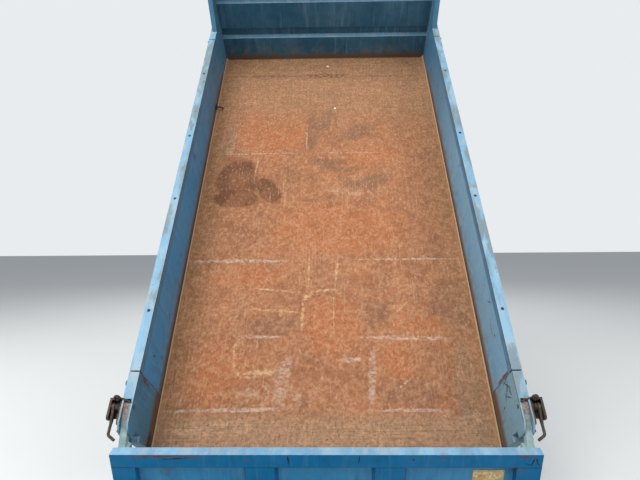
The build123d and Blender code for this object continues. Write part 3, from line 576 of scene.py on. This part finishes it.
class BODY_OT_finishes(bpy.types.Operator):
    """Make the paints and metals, and give each CAD node its own"""
    bl_idname = "body.finishes"
    bl_label = "Paint and rust"

    def execute(self, context):
        colours = context.scene.body_colours
        black = colours.frame_black
        wall = (0, span("side_panel_right", BED)[0].x)
        front = (1, span("headboard_panel", BED)[0].y)
        # Finish, the function that makes it, its values, its settings, and the CAD nodes that have it
        for name, make, values, settings, nodes in (
            ("sun-bleached gate enamel", enamel, (GATE, colours.gate_blue, colours), dict(
                bleach=0.95, chips=0.4, rubbed=0.05, fade=0.1, rail_shadow_level=0.2235, grime=0.2, shine=0.08,
                scars=GATE_SCARS), ("tailgate_rails", "tailgate_ribs")),
            (GATE_SKIN_PAINT, enamel, (GATE, rgb("#277ca8"), colours), dict(
                bleach=0.4, chips=0.4, streaks=0.9, fade=0.3), ("tailgate_panel",)),
            (SIDE_PAINT, enamel, (BED, rgb("#2a6e98"), colours), dict(
                bleach=0.4, chips=0.45, streaks=0.7, fade=0.3),
             (*both("side_ribs", "side_hinges"), "side_hinge_brackets", "rope_hooks")),
            ("rubbed inner wall enamel", enamel, (BED, rgb("#3a85b2"), colours), dict(
                bleach=0.9, chips=0.5, rubbed=0.5, floor_dirt=0.9, dirt_top=0.165, streaks=0.8, rim=0.9,
                inner=wall, side_light_and_front_shade=0.28, scars=WALL_SCARS), both("side_panel")),
            ("rear post enamel", enamel, (BED, rgb("#2f708e"), colours), dict(
                bleach=0.95, chips=0.5, rubbed=0.45, floor_dirt=0.95, dirt_top=0.19, streaks=0.9, grime=0.75,
                rim=0.9, inner=wall, side_light_and_front_shade=0.3, scars=WALL_SCARS), both("rear_post")),
            ("rail enamel", enamel, (BED, rgb("#3f7391"), colours), dict(
                bleach=0.95, chips=0.7, rubbed=0.2, grime=0.75, rim=0.9), both("side_top_rail", "front_post")),
            ("headboard enamel", enamel, (BED, colours.bed_blue, colours), dict(
                bleach=0.38, chips=0.4, rubbed=0.1, floor_dirt=1.0, dirt_top=0.15, streaks=0.9, inner=front),
             ("headboard_panel", "headboard_top_rail", "headboard_ribs")),
            ("underbody enamel", enamel, (BED, rgb("#2b4a5c"), colours), dict(
                bleach=0.2, chips=0.7, streaks=0.6, dust=0.7),
             ("bed_crossmembers", "bed_long_sills", "bed_side_sills", "bed_end_sills", "roller_tracks",
              "bed_hinge_lugs")),
            ("rusted floor plate", rusted_floor, (colours,), {}, ("bed_floor",)),
            ("chalky hinge paint", hinge_paint, (colours,), {}, ("tailgate_arms",)),
            (CATCH_IRON, greasy_iron, (colours,), {},
             ("post_catches", "tailgate_lock_pins", "lock_shaft", "lock_hooks")),
            ("dusty chassis paint", chassis_paint, (black,), {},
             (*both("subframe_rail"), "subframe_crossmembers", "foot_plates", "hinge_brackets", "hoist_mounts",
              "oil_tank", "body_prop")),
            ("greasy hoist paint", chassis_paint, (black,), dict(dust=0.35, grease=0.6),
             ("lift_arm_plates", "hoist_barrel", "bed_hinge_pins")),
            ("ground piston rod", turned_steel, (rgb("#b9bab9"),), dict(rough=0.18, along=(1, 1, 12)),
             ("hoist_rod",)),
            ("rolled roller steel", turned_steel, (rgb("#8b8882"),), dict(rough=0.34, along=(12, 1, 1)),
             ("lift_arm_rollers",)),
            (FASTENER_ZINC, zinc_plate, (), {}, ()),
            ("cream plate film", plate_film, (), {}, ()),
        ):
            make(name, *values, **settings)
            for node in nodes:
                slots = frame["nodes"][node].data.materials
                slots.clear()
                slots.append(bpy.data.materials[name])
        return {"FINISHED"}


# Pieces
# Edges whose faces meet at more than this angle stay sharp
SHARP_FROM = math.radians(38)


def put(name, mesh, material, body):
    """New piece with a mesh in place, its finish and the body it rides on."""
    for polygon in mesh.polygons:
        polygon.use_smooth = True
    mesh.set_sharp_from_angle(angle=SHARP_FROM)
    mesh.name = name
    mesh.materials.clear()
    mesh.materials.append(bpy.data.materials[material])
    piece = bpy.data.objects.new(name, mesh)
    bpy.context.scene.collection.objects.link(piece)
    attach(piece, body)


def evaluated(source):
    """Mesh of an object with its modifiers or bevel applied. The object goes."""
    bpy.context.scene.collection.objects.link(source)
    graph = bpy.context.evaluated_depsgraph_get()
    mesh = bpy.data.meshes.new_from_object(source.evaluated_get(graph), depsgraph=graph)
    bpy.data.objects.remove(source)
    return mesh


def grown(points, edges, build, inputs, place=LEVEL, facing=None):
    """Mesh that a Geometry Nodes tree makes from points and edges, which carry an optional facing direction."""
    seed = bpy.data.meshes.new("seed")
    seed.from_pydata([place @ Vector(point) for point in points], edges, [])
    if facing:
        turn = place.to_3x3()
        directions = seed.attributes.new("facing", "FLOAT_VECTOR", "POINT")
        directions.data.foreach_set("vector", [value for way in facing for value in turn @ Vector(way)])
    carrier = bpy.data.objects.new("carrier", seed)
    modifier = carrier.modifiers.new("growth", "NODES")
    modifier.node_group = build()
    for item in modifier.node_group.interface.items_tree:
        if item.item_type == "SOCKET" and item.in_out == "INPUT" and item.name in inputs:
            modifier[item.identifier] = inputs[item.name]
    return evaluated(carrier)


def tree_with(name, sockets):
    """New Geometry Nodes tree and its group input, with sockets from rows of label, kind and default."""
    tree = bpy.data.node_groups.new(name, "GeometryNodeTree")
    tree.interface.new_socket("Geometry", in_out="INPUT", socket_type="NodeSocketGeometry")
    for label, kind, default in sockets:
        socket = tree.interface.new_socket(label, in_out="INPUT", socket_type=kind)
        if default is not None:
            socket.default_value = default
    tree.interface.new_socket("Geometry", in_out="OUTPUT", socket_type="NodeSocketGeometry")
    return tree, tree.nodes.new("NodeGroupInput").outputs


def strewn(tree, points, shapes, turn, scale=None, material=None):
    """Ends a tree with shapes joined and set on points, turned, scaled and painted."""
    whole = add(tree, "GeometryNodeJoinGeometry")
    for shape in shapes:
        tree.links.new(shape, whole.inputs[0])
    inputs = {"Points": points, "Instance": whole.outputs[0], "Rotation": turn}
    if scale:
        inputs["Scale"] = scale
    copies = add(tree, "GeometryNodeInstanceOnPoints", inputs)
    result = add(tree, "GeometryNodeRealizeInstances", {0: copies.outputs[0]})
    if material:
        result = add(tree, "GeometryNodeSetMaterial", {0: result.outputs[0], "Material": material})
    add(tree, "NodeGroupOutput", {0: result.outputs[0]})
    return tree


def weld_tree():
    """Beads of weld: overlapping flattened drops laid along the edges, each a little larger or smaller."""
    tree, given = tree_with("Weld beads", [
        ("Width", "NodeSocketFloat", 0.007), ("Pitch", "NodeSocketFloat", 0.005), ("Seed", "NodeSocketInt", 4),
        ("Material", "NodeSocketMaterial", None)])
    curve = add(tree, "GeometryNodeMeshToCurve", {0: given["Geometry"]})
    laid = add(tree, "GeometryNodeResampleCurve", {"Curve": curve.outputs[0], "Length": given["Pitch"]},
               mode="LENGTH")
    drop = add(tree, "GeometryNodeMeshIcoSphere", {"Radius": given["Width"], "Subdivisions": 1})
    # The drops' smallest and largest radius as shares of the width, and their turn in radians
    smallest, largest, half_turn = 0.42, 0.62, 3.1
    size = add(tree, "FunctionNodeRandomValue", {"Seed": given["Seed"], 2: smallest, 3: largest})
    turn = add(tree, "FunctionNodeRandomValue", {
        "Seed": given["Seed"], 0: (0.0,) * 3, 1: (half_turn,) * 3}, data_type="FLOAT_VECTOR")
    return strewn(tree, laid.outputs[0], [drop.outputs[0]], turn.outputs[0], size.outputs[1], given["Material"])


def bolt_tree():
    """Bolt heads: a hexagon on a washer with a stud's end at each point, turned to its facing direction."""
    tree, given = tree_with("Bolt heads", [
        ("Flats", "NodeSocketFloat", 0.024), ("Seed", "NodeSocketInt", 2), ("Material", "NodeSocketMaterial", None)])
    shapes = []
    # Sides, then as shares of the width across flats: radius, depth and height of the middle
    for sides, *shares in ((6, 0.577, 0.6, 0.42), (20, 0.82, 0.12, 0.12), (10, 0.25, 0.6, 0.8)):
        radius, depth, middle = (add(tree, "ShaderNodeMath", {
            0: given["Flats"], 1: share}, operation="MULTIPLY").outputs[0] for share in shares)
        shape = add(tree, "GeometryNodeMeshCylinder", {"Vertices": sides, "Radius": radius, "Depth": depth})
        up = add(tree, "ShaderNodeCombineXYZ", {2: middle})
        shapes.append(add(tree, "GeometryNodeTransform", {
            0: shape.outputs[0], "Translation": up.outputs[0]}).outputs[0])
    spin = add(tree, "FunctionNodeRandomValue", {"Seed": given["Seed"], 0: (0.0,) * 3, 1: (0.0, 0.0, 1.0)},
               data_type="FLOAT_VECTOR")
    facing = add(tree, "GeometryNodeInputNamedAttribute", {"Name": "facing"}, data_type="FLOAT_VECTOR")
    turn = add(tree, "FunctionNodeAlignRotationToVector", {
        "Rotation": spin.outputs[0], "Vector": facing.outputs[0]}, axis="Z")
    return strewn(tree, given["Geometry"], shapes, turn.outputs[0], material=given["Material"])


def drain_tree():
    """Drilled holes seen from above: a thin burred rim round a dark cup at each point."""
    tree, given = tree_with("Rail holes", [
        ("Radius", "NodeSocketFloat", 0.007), ("Rim", "NodeSocketMaterial", None), ("Cup", "NodeSocketMaterial", None)])
    radius, sides = given["Radius"], 28
    burr_radius, cup_depth = 0.0011, 0.0009
    facing = add(tree, "GeometryNodeInputNamedAttribute", {"Name": "facing"}, data_type="FLOAT_VECTOR")
    turn = add(tree, "FunctionNodeAlignRotationToVector", {"Vector": facing.outputs[0]}, axis="Z")
    path = add(tree, "GeometryNodeCurvePrimitiveCircle", {"Radius": radius, "Resolution": sides})
    burr = add(tree, "GeometryNodeCurvePrimitiveCircle", {"Radius": burr_radius, "Resolution": 8})
    rim = add(tree, "GeometryNodeCurveToMesh", {"Curve": path.outputs[0], "Profile Curve": burr.outputs[0]})
    cup = add(tree, "GeometryNodeMeshCylinder", {"Vertices": sides, "Radius": radius, "Depth": cup_depth})
    shapes = [add(tree, "GeometryNodeSetMaterial", {0: shape.outputs[0], "Material": given[label]}).outputs[0]
              for shape, label in ((rim, "Rim"), (cup, "Cup"))]
    return strewn(tree, given["Geometry"], shapes, turn.outputs[0])


def tube(points, radius, place=BED, sides=12, smooth=True):
    """Mesh of a round bar through points, on a smooth or a straight-edged line."""
    curve = bpy.data.curves.new("bar", "CURVE")
    curve.dimensions = "3D"
    curve.bevel_depth = radius
    curve.bevel_resolution = sides // 4
    curve.use_fill_caps = True
    spline = curve.splines.new("NURBS" if smooth else "POLY")
    spline.points.add(len(points) - 1)
    for target, point in zip(spline.points, points):
        target.co = (*(place @ Vector(point)), 1.0)
    if smooth:
        spline.order_u = 3
        spline.use_endpoint_u = True
    return evaluated(bpy.data.objects.new("bar", curve))


def rounded_block(first, second, edge, place=BED):
    """Mesh of a block with rounded edges between two opposite corners."""
    shape = bmesh.new()
    bmesh.ops.create_cube(shape, size=1.0)
    bmesh.ops.scale(shape, vec=[abs(b - a) for a, b in zip(first, second)], verts=shape.verts)
    bmesh.ops.bevel(shape, geom=shape.edges[:], offset=edge, segments=3, affect="EDGES", profile=0.5)
    bmesh.ops.translate(shape, vec=[(a + b) / 2 for a, b in zip(first, second)], verts=shape.verts)
    bmesh.ops.transform(shape, matrix=place, verts=shape.verts)
    bmesh.ops.recalc_face_normals(shape, faces=shape.faces)
    mesh = bpy.data.meshes.new("block")
    shape.to_mesh(mesh)
    shape.free()
    return mesh


def joined(meshes):
    """One mesh from several."""
    shape = bmesh.new()
    for mesh in meshes:
        shape.from_mesh(mesh)
    whole = bpy.data.meshes.new("whole")
    shape.to_mesh(whole)
    shape.free()
    return whole


# Seams are pairs of ends. The small distances keep the beads off corners and faces that would swallow them.
def risers(x, low, high, lift=0.0):
    """Seams at x up the rear and front edges of a solid, from lift above its foot."""
    return [((x, s, low.z + lift), (x, s, high.z)) for s in (low.y, high.y)]


def bed_seams():
    """Seams of the cross-members, the headboard, the front posts and the side hinges' brackets, in the bed's axes."""
    floor_low, floor_high = span("bed_floor", BED)
    sills = solids("bed_long_sills", BED)
    seams = []
    for low, high in solids("bed_crossmembers", BED):
        for sill_low, sill_high in sills:
            seams += [((sill_low.x, s, low.z), (sill_high.x, s, low.z)) for s in (low.y, high.y)]
        seams += [((low.x + 0.03, s, high.z), (high.x - 0.03, s, high.z)) for s in (low.y, high.y)]
    panel_low, panel_high = span("headboard_panel", BED)
    for low, high in solids("headboard_ribs", BED):
        seams += [((x, panel_high.y, panel_low.z + 0.01), (x, panel_high.y, high.z)) for x in (low.x, high.x)]
    half, foot = floor_high.x - 0.034, floor_low.z + 0.0045
    seams.append(((-half, panel_low.y, foot), (half, panel_low.y, foot)))
    post_low, post_high = span("front_post_right", BED)
    for x in (-post_low.x, post_low.x):
        seams.append(((x, panel_low.y, floor_low.z + 0.05), (x, panel_low.y, post_high.z - 0.01)))
    for low, high in solids("side_hinge_brackets", BED):
        seams += risers(low.x + 0.0015 if high.x > 0 else high.x - 0.0015, low, high)
    return seams


def gate_seams():
    """Seams of the ribs and the rails round the gate's skin, in the gate's axes."""
    low, high = span("tailgate_panel", GATE)
    ribs = [corner.x for rib in solids("tailgate_ribs", GATE) for corner in rib]
    level = [((low.x, low.y, h), (high.x, low.y, h)) for h in (low.z, high.z)]
    upright = [((x, low.y, low.z), (x, low.y, high.z)) for x in (*ribs, low.x, high.x)]
    return upright[:len(ribs)] + level + upright[len(ribs):]


def side_seams(name, side):
    """Seams of the ribs and the top rail on a drop side's skin, in the bed's axes."""
    face = side * (min(abs(corner.x) for corner in span("side_panel_" + name, BED)) + 0.003)
    seams = []
    for low, high in solids("side_ribs_" + name, BED):
        seams += risers(face, low, high)
    low, high = span("side_top_rail_" + name, BED)
    return seams + [((face, low.y, low.z), (face, high.y, low.z))]


def frame_seams():
    """Seams of the sub-frame's cross-members, foot plates and hinge brackets, in the world's axes."""
    rail_low, rail_high = span("subframe_rail_right")
    seams = []
    for low, high in solids("subframe_crossmembers"):
        for side in (-1, 1):
            tip, web = side * rail_low.x, side * (rail_high.x - 0.006)
            seams += risers(tip, low, high, 0.006)
            seams += [((tip, y, high.z), (web, y, high.z)) for y in (low.y, high.y)]
    for low, high in solids("foot_plates"):
        seams += risers(low.x if high.x > 0 else high.x, low, high, 0.005)
    for low, high in solids("hinge_brackets"):
        seams += [((x, low.y, low.z + 0.001), (x, high.y, low.z + 0.001)) for x in (low.x, high.x)]
    return seams


class BODY_OT_welds(bpy.types.Operator):
    """Lay weld beads where ribs, members and brackets meet what carries them"""
    bl_idname = "body.welds"
    bl_label = "Weld beads"

    def execute(self, context):
        width = context.scene.body_sizes.weld_width
        pitch = 0.7 * width
        # Body, its axes and seams, and the beads' paint and slot
        for body, axes, seams, paint, slot in (
            ("bed", BED, bed_seams(), "underbody enamel", "bed_blue"),
            ("tailgate", GATE, gate_seams(), GATE_SKIN_PAINT, "gate_blue"),
            *(("drop_side_" + name, BED, side_seams(name, side), SIDE_PAINT, "gate_blue")
              for name, side in SIDES.items()),
            ("subframe", LEVEL, frame_seams(), "dusty chassis paint", "frame_black"),
        ):
            points = [point for seam in seams for point in seam]
            edges = [(number, number + 1) for number in range(0, len(points), 2)]
            mesh = grown(points, edges, weld_tree, {
                "Width": width, "Pitch": pitch, "Material": bpy.data.materials[paint]}, axes)
            put("weld_beads_" + body, mesh, paint, body)
        return {"FINISHED"}


class BODY_OT_bolts(bpy.types.Operator):
    """Put bolts through the sub-frame's feet, the oil tank's flanges and the hinge brackets"""
    bl_idname = "body.bolts"
    bl_label = "Bolts"

    def execute(self, context):
        up = (0, 0, 1)
        inset, plate = 0.038, 0.008
        end, flange, flange_h = 0.04, 0.02, 0.04
        bolts = []
        for low, high in solids("foot_plates"):
            x = low.x + inset if high.x > 0 else high.x - inset
            bolts.append(((x, (low.y + high.y) / 2, low.z + plate), up))
        low, high = span("oil_tank")
        for x in (low.x + end, high.x - end):
            bolts += [((x, y, flange_h), up) for y in (low.y - flange, high.y + flange)]
        # The heads are on the brackets' inner faces, because the bed's lugs turn beside the outer ones
        left, right = solids("hinge_brackets")
        above_foot = 0.025
        for x, low, way in ((left[1].x, left[0], 1), (right[0].x, right[0], -1)):
            bolts.append(((x, 0, low.z + above_foot), (way, 0, 0)))
        places, ways = zip(*bolts)
        mesh = grown(places, [], bolt_tree, {
            "Flats": context.scene.body_sizes.bolt_flats, "Material": bpy.data.materials[FASTENER_ZINC]},
            facing=ways)
        put("frame_bolts", mesh, FASTENER_ZINC, "subframe")
        return {"FINISHED"}


# Places of the rail holes along the bed
RAIL_HOLES_S = (0.472, 1.159, 1.661, 2.278)


class BODY_OT_rail_holes(bpy.types.Operator):
    """Drill the holes along the tops of the side rails"""
    bl_idname = "body.rail_holes"
    bl_label = "Rail holes"

    def execute(self, context):
        iron = bpy.data.materials[CATCH_IRON]
        for name in SIDES:
            low, high = span("side_top_rail_" + name, BED)
            points = [((low.x + high.x) / 2, s, high.z + 0.0001) for s in RAIL_HOLES_S]
            mesh = grown(points, [], drain_tree, {
                "Radius": context.scene.body_sizes.drain_radius, "Rim": iron, "Cup": iron}, BED,
                [(0, 0, 1)] * len(points))
            put("rail_holes_" + name, mesh, CATCH_IRON, "drop_side_" + name)
        return {"FINISHED"}


class BODY_OT_catch_fittings(bpy.types.Operator):
    """Add the eye, the return spring, the rivet, the strap and the stub pin of each catch"""
    bl_idname = "body.catch_fittings"
    bl_label = "Catch eyes and springs"

    def execute(self, context):
        pivot = BED.inverted() @ Vector(SWING["pos_m"])
        post = span("rear_post_right", BED)[1].x
        reach = span("post_catches", BED)[1].x - post
        middle, eye_s, eye_h, eye_radius, eye_sides, lean = 0.021, 0.028, 0.034, 0.01, 16, 0.004
        coil_out, coil_radius, coil_sides, turns, pitch = 0.011, 0.0168, 10, 4, 0.0038
        eye_wire, coil_wire = 0.0052, 0.0018
        stub_s, stub_h = -0.057, 0.37
        for name, side in SIDES.items():
            def at(out, s, h):
                """Place from the distance out of the post's face, and along and up from the gate's pivot."""
                return side * (post + out), pivot.y + s, pivot.z + h

            ring, coil = [], []
            for number in range(eye_sides + 1):
                turn = 2 * math.pi * number / eye_sides
                ring.append(at(middle + side * eye_radius * math.sin(turn), eye_s + lean * math.cos(turn),
                               eye_h + eye_radius * math.cos(turn)))
            for number in range(coil_sides * turns + 1):
                turn = 2 * math.pi * number / coil_sides
                coil.append(at(coil_out + pitch * number / coil_sides, coil_radius * math.cos(turn),
                               coil_radius * math.sin(turn)))
            eye = tube(ring, eye_wire, sides=16)
            stem = tube([at(middle, 0.026, 0.01), at(middle, 0.026, 0.026)], 0.008, sides=16, smooth=False)
            spring = tube(coil, coil_wire, sides=8)
            rivet = tube([at(reach - 0.001, 0, 0), at(reach + 0.003, 0, 0)], 0.0085, sides=20, smooth=False)
            strap = tube([at(0.012, 0.03, 0.029), at(-0.006, 0.025, 0.0275), at(-0.04, 0.012, 0.0275)], 0.0032,
                         smooth=False)
            stub = tube([(side * (post + out), stub_s, stub_h) for out in (-0.002, 0.013)], 0.006, smooth=False)
            put("catch_fittings_" + name, joined([eye, stem, spring, rivet, strap, stub]), CATCH_IRON, "bed")
        return {"FINISHED"}


class BODY_OT_gate_plate(bpy.types.Operator):
    """Fix the blank plate to the gate's skin under its top rail"""
    bl_idname = "body.gate_plate"
    bl_label = "Gate plate"

    def execute(self, context):
        left, foot, top, thickness, gap = 0.601, 0.098, 0.178, 0.0015, 0.0001
        right = left + context.scene.body_sizes.plate_width
        back = span("tailgate_panel", GATE)[0].y - gap
        mesh = rounded_block((left, back - thickness, foot), (right, back, top), 0.0007, GATE)
        put("gate_plate", mesh, "cream plate film", "tailgate")
        return {"FINISHED"}


class BODY_OT_tie_hook(bpy.types.Operator):
    """Weld the small tie hook to the foot of the left wall"""
    bl_idname = "body.tie_hook"
    bl_label = "Tie hook"

    def execute(self, context):
        x, s, h = span("bed_floor", BED)[0].x + 0.003, 2.29, 0.121
        # Distance out of the wall, along the bed and up, from the hook's root to its tip
        hook = tube([(x + out, s + along, h + up) for out, along, up in (
            (-0.002, -0.002, 0.008), (0.012, 0, 0.006), (0.034, 0.006, -0.004), (0.044, 0.01, -0.016),
            (0.036, 0.012, -0.026))], 0.0055)
        foot = rounded_block((x - 0.001, s - 0.02, h - 0.006), (x + 0.005, s + 0.02, h + 0.02), 0.002)
        put("tie_hook", joined([hook, foot]), CATCH_IRON, "bed")
        return {"FINISHED"}


class BODY_OT_side_latches(bpy.types.Operator):
    """Fit the drop sides' latches on the posts and their keepers on the end ribs"""
    bl_idname = "body.side_latches"
    bl_label = "Side latches"

    def execute(self, context):
        low, high = span("side_panel_right", BED)
        hub_h, plate_foot, plate_top, plate_half = 0.372, 0.325, 0.402, 0.027
        # Distances along the bed from a drop side's end, outwards to the latch and inwards to the keeper
        to_latch, to_keeper = 0.04, 0.034
        # Reach in and out of the side's face, foot and top of a keeper's two lugs and of the bridge between them
        keeper_half, keeper_edge = 0.013, 0.0015
        keeper_parts = ((-0.001, 0.012, 0.341, 0.353), (-0.001, 0.012, 0.377, 0.389), (0.008, 0.013, 0.342, 0.388))
        for name, side in SIDES.items():
            def at(out, s, h):
                """Place from the distance out of the side's face, along the bed and up."""
                return side * (high.x + out), s, h

            latches, keepers = [], []
            for end, way in ((low.y, -1), (high.y, 1)):
                s = end + way * to_latch
                latches += [
                    rounded_block(at(-0.001, s - plate_half, plate_foot), at(0.006, s + plate_half, plate_top), 0.002),
                    tube([at(0, s, hub_h), at(0.02, s, hub_h)], 0.012, sides=20, smooth=False),
                    tube([at(0.013, s, hub_h), at(0.015, s + way * 0.006, 0.32), at(0.021, s + way * 0.012, 0.28),
                          at(0.021, s + way * 0.012, 0.25)], 0.0055)]
                s = end - way * to_keeper
                keepers += [
                    rounded_block(at(start, s - keeper_half, foot), at(stop, s + keeper_half, top), keeper_edge)
                    for start, stop, foot, top in keeper_parts]
            put("side_latches_" + name, joined(latches), CATCH_IRON, "bed")
            put("side_keepers_" + name, joined(keepers), SIDE_PAINT, "drop_side_" + name)
        return {"FINISHED"}


class BODY_OT_hoist_pipes(bpy.types.Operator):
    """Run the two rigid steel pipes from the tank to the block beside the cylinder's mount"""
    bl_idname = "body.hoist_pipes"
    bl_label = "Hoist pipes"

    def execute(self, context):
        tank = span("oil_tank")[0].y
        mount = solids("hoist_mounts")[1][1]
        port_h, run_h = 0.085, 0.052
        pipe_radius, nut_radius, nut_half = 0.0065, 0.0115, 0.009
        shapes = []
        for x in (0.09, 0.118):
            shapes.append(tube([
                (x, tank + 0.004, port_h), (x, tank - 0.035, port_h), (x, tank - 0.09, run_h),
                (x, mount.y + 0.08, run_h), (x - 0.025, mount.y + 0.02, run_h), (x - 0.03, mount.y - 0.02, run_h)],
                pipe_radius, LEVEL, 16))
            for end, y, h in ((x, tank - 0.008, port_h), (x - 0.03, mount.y - 0.016, run_h)):
                shapes.append(tube([(end, y - nut_half, h), (end, y + nut_half, h)], nut_radius, LEVEL, 4, False))
        block = mount.y - 0.036
        shapes.append(rounded_block((mount.x - 0.002, block, 0.038), (0.1, block + 0.022, 0.066), 0.002, LEVEL))
        put("hoist_pipes", joined(shapes), FASTENER_ZINC, "subframe")
        return {"FINISHED"}


# The photograph's camera: its place, its turns in degrees about the upright, the sideways and its own axis, and lens
CAMERA_PLACE = (0.0205, -2.316, 1.153)
CAMERA_TURNS = (0.99, 89.6, -0.43)
CAMERA_LENS = 27.28
# Lamp, its place, the point it aims at, its size in metres and its power in watts
LAMPS = (
    ("key light", (-2.5, -4.0, 6.5), (0, 0.4, 1.2), 5.0, 410),
    ("fill light", (4.5, -3.0, 3.5), (0, 0.4, 1.0), 4.0, 125),
    ("side light", (-5.7, -0.7, 2.6), (0, 0.8, 1.4), 3.0, 130),
    ("rear light", (0.0, 6.0, 5.5), (0, 0.8, 1.4), 4.0, 160))


class BODY_OT_stage(bpy.types.Operator):
    """Set the pale floor, the soft lights and the camera of the photograph"""
    bl_idname = "body.stage"
    bl_label = "Stage and camera"

    def execute(self, context):
        scene = context.scene
        shape = bmesh.new()
        bmesh.ops.create_grid(shape, x_segments=1, y_segments=1, size=30)
        mesh = bpy.data.meshes.new("stage_floor")
        shape.to_mesh(mesh)
        shape.free()
        mesh.materials.append(studio_paper("seamless studio paper"))
        floor = bpy.data.objects.new("stage_floor", mesh)
        floor.location = (0, 0, -0.001)
        scene.collection.objects.link(floor)
        # The sky is pale to the camera and in reflections, and softer where it lights the body
        world = bpy.data.worlds.new("soft sky")
        world.use_nodes = True
        tree = world.node_tree
        tree.nodes.clear()
        rays = add(tree, "ShaderNodeLightPath")
        lit = add(tree, "ShaderNodeBackground", {"Color": (*rgb("#dfe6ee"), 1.0), "Strength": 0.55})
        seen = add(tree, "ShaderNodeBackground", {"Color": (*rgb("#e9ecee"), 1.0), "Strength": 1.0})
        direct = add(tree, "ShaderNodeMath", {
            0: rays.outputs["Is Camera Ray"], 1: rays.outputs["Is Glossy Ray"]}, operation="MAXIMUM")
        sky = add(tree, "ShaderNodeMixShader", {0: direct.outputs[0], 1: lit.outputs[0], 2: seen.outputs[0]})
        add(tree, "ShaderNodeOutputWorld", {"Surface": sky.outputs[0]})
        scene.world = world
        for name, place, aim, size, power in LAMPS:
            lamp = bpy.data.lights.new(name, "AREA")
            lamp.size = size
            lamp.energy = power
            holder = bpy.data.objects.new(name, lamp)
            holder.location = place
            holder.rotation_euler = (Vector(aim) - Vector(place)).to_track_quat("-Z", "Y").to_euler()
            scene.collection.objects.link(holder)
        camera = bpy.data.cameras.new("camera")
        camera.sensor_width = 36.0
        camera.lens = CAMERA_LENS
        camera.clip_end = 200
        holder = bpy.data.objects.new("camera", camera)
        upright, sideways, own = (math.radians(turn) for turn in CAMERA_TURNS)
        holder.matrix_world = (
            Matrix.Translation(CAMERA_PLACE) @ Matrix.Rotation(upright, 4, "Z")
            @ Matrix.Rotation(sideways, 4, "X") @ Matrix.Rotation(own, 4, "Z"))
        scene.collection.objects.link(holder)
        scene.camera = holder
        scene.view_settings.view_transform = "Standard"
        return {"FINISHED"}


class BODY_PT_panel(bpy.types.Panel):
    """Steps that dress the tipping body, in order"""
    bl_idname = "BODY_PT_panel"
    bl_label = "Tipping body"
    bl_space_type = "VIEW_3D"
    bl_region_type = "UI"
    bl_category = "Tipping body"

    def draw(self, context):
        for group in (context.scene.body_sizes, context.scene.body_colours):
            for name in group.__annotations__:
                self.layout.prop(group, name)
        for step in STEPS:
            self.layout.operator(step.bl_idname)


STEPS = (
    BODY_OT_stage, BODY_OT_finishes, BODY_OT_welds, BODY_OT_bolts, BODY_OT_rail_holes, BODY_OT_catch_fittings,
    BODY_OT_gate_plate, BODY_OT_tie_hook, BODY_OT_side_latches, BODY_OT_hoist_pipes)
CLASSES = (BodySizes, BodyColours, *STEPS, BODY_PT_panel)


def register():
    for item in CLASSES:
        bpy.utils.register_class(item)
    bpy.types.Scene.body_sizes = bpy.props.PointerProperty(type=BodySizes)
    bpy.types.Scene.body_colours = bpy.props.PointerProperty(type=BodyColours)


def unregister():
    del bpy.types.Scene.body_colours
    del bpy.types.Scene.body_sizes
    for item in reversed(CLASSES):
        bpy.utils.unregister_class(item)


def main():
    register()
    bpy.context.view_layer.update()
    bpy.ops.body.stage()
    bpy.ops.body.finishes()
    bpy.ops.body.welds()
    bpy.ops.body.bolts()
    bpy.ops.body.rail_holes()
    bpy.ops.body.catch_fittings()
    bpy.ops.body.gate_plate()
    bpy.ops.body.tie_hook()
    bpy.ops.body.side_latches()
    bpy.ops.body.hoist_pipes()


if __name__ == "__main__":
    main()
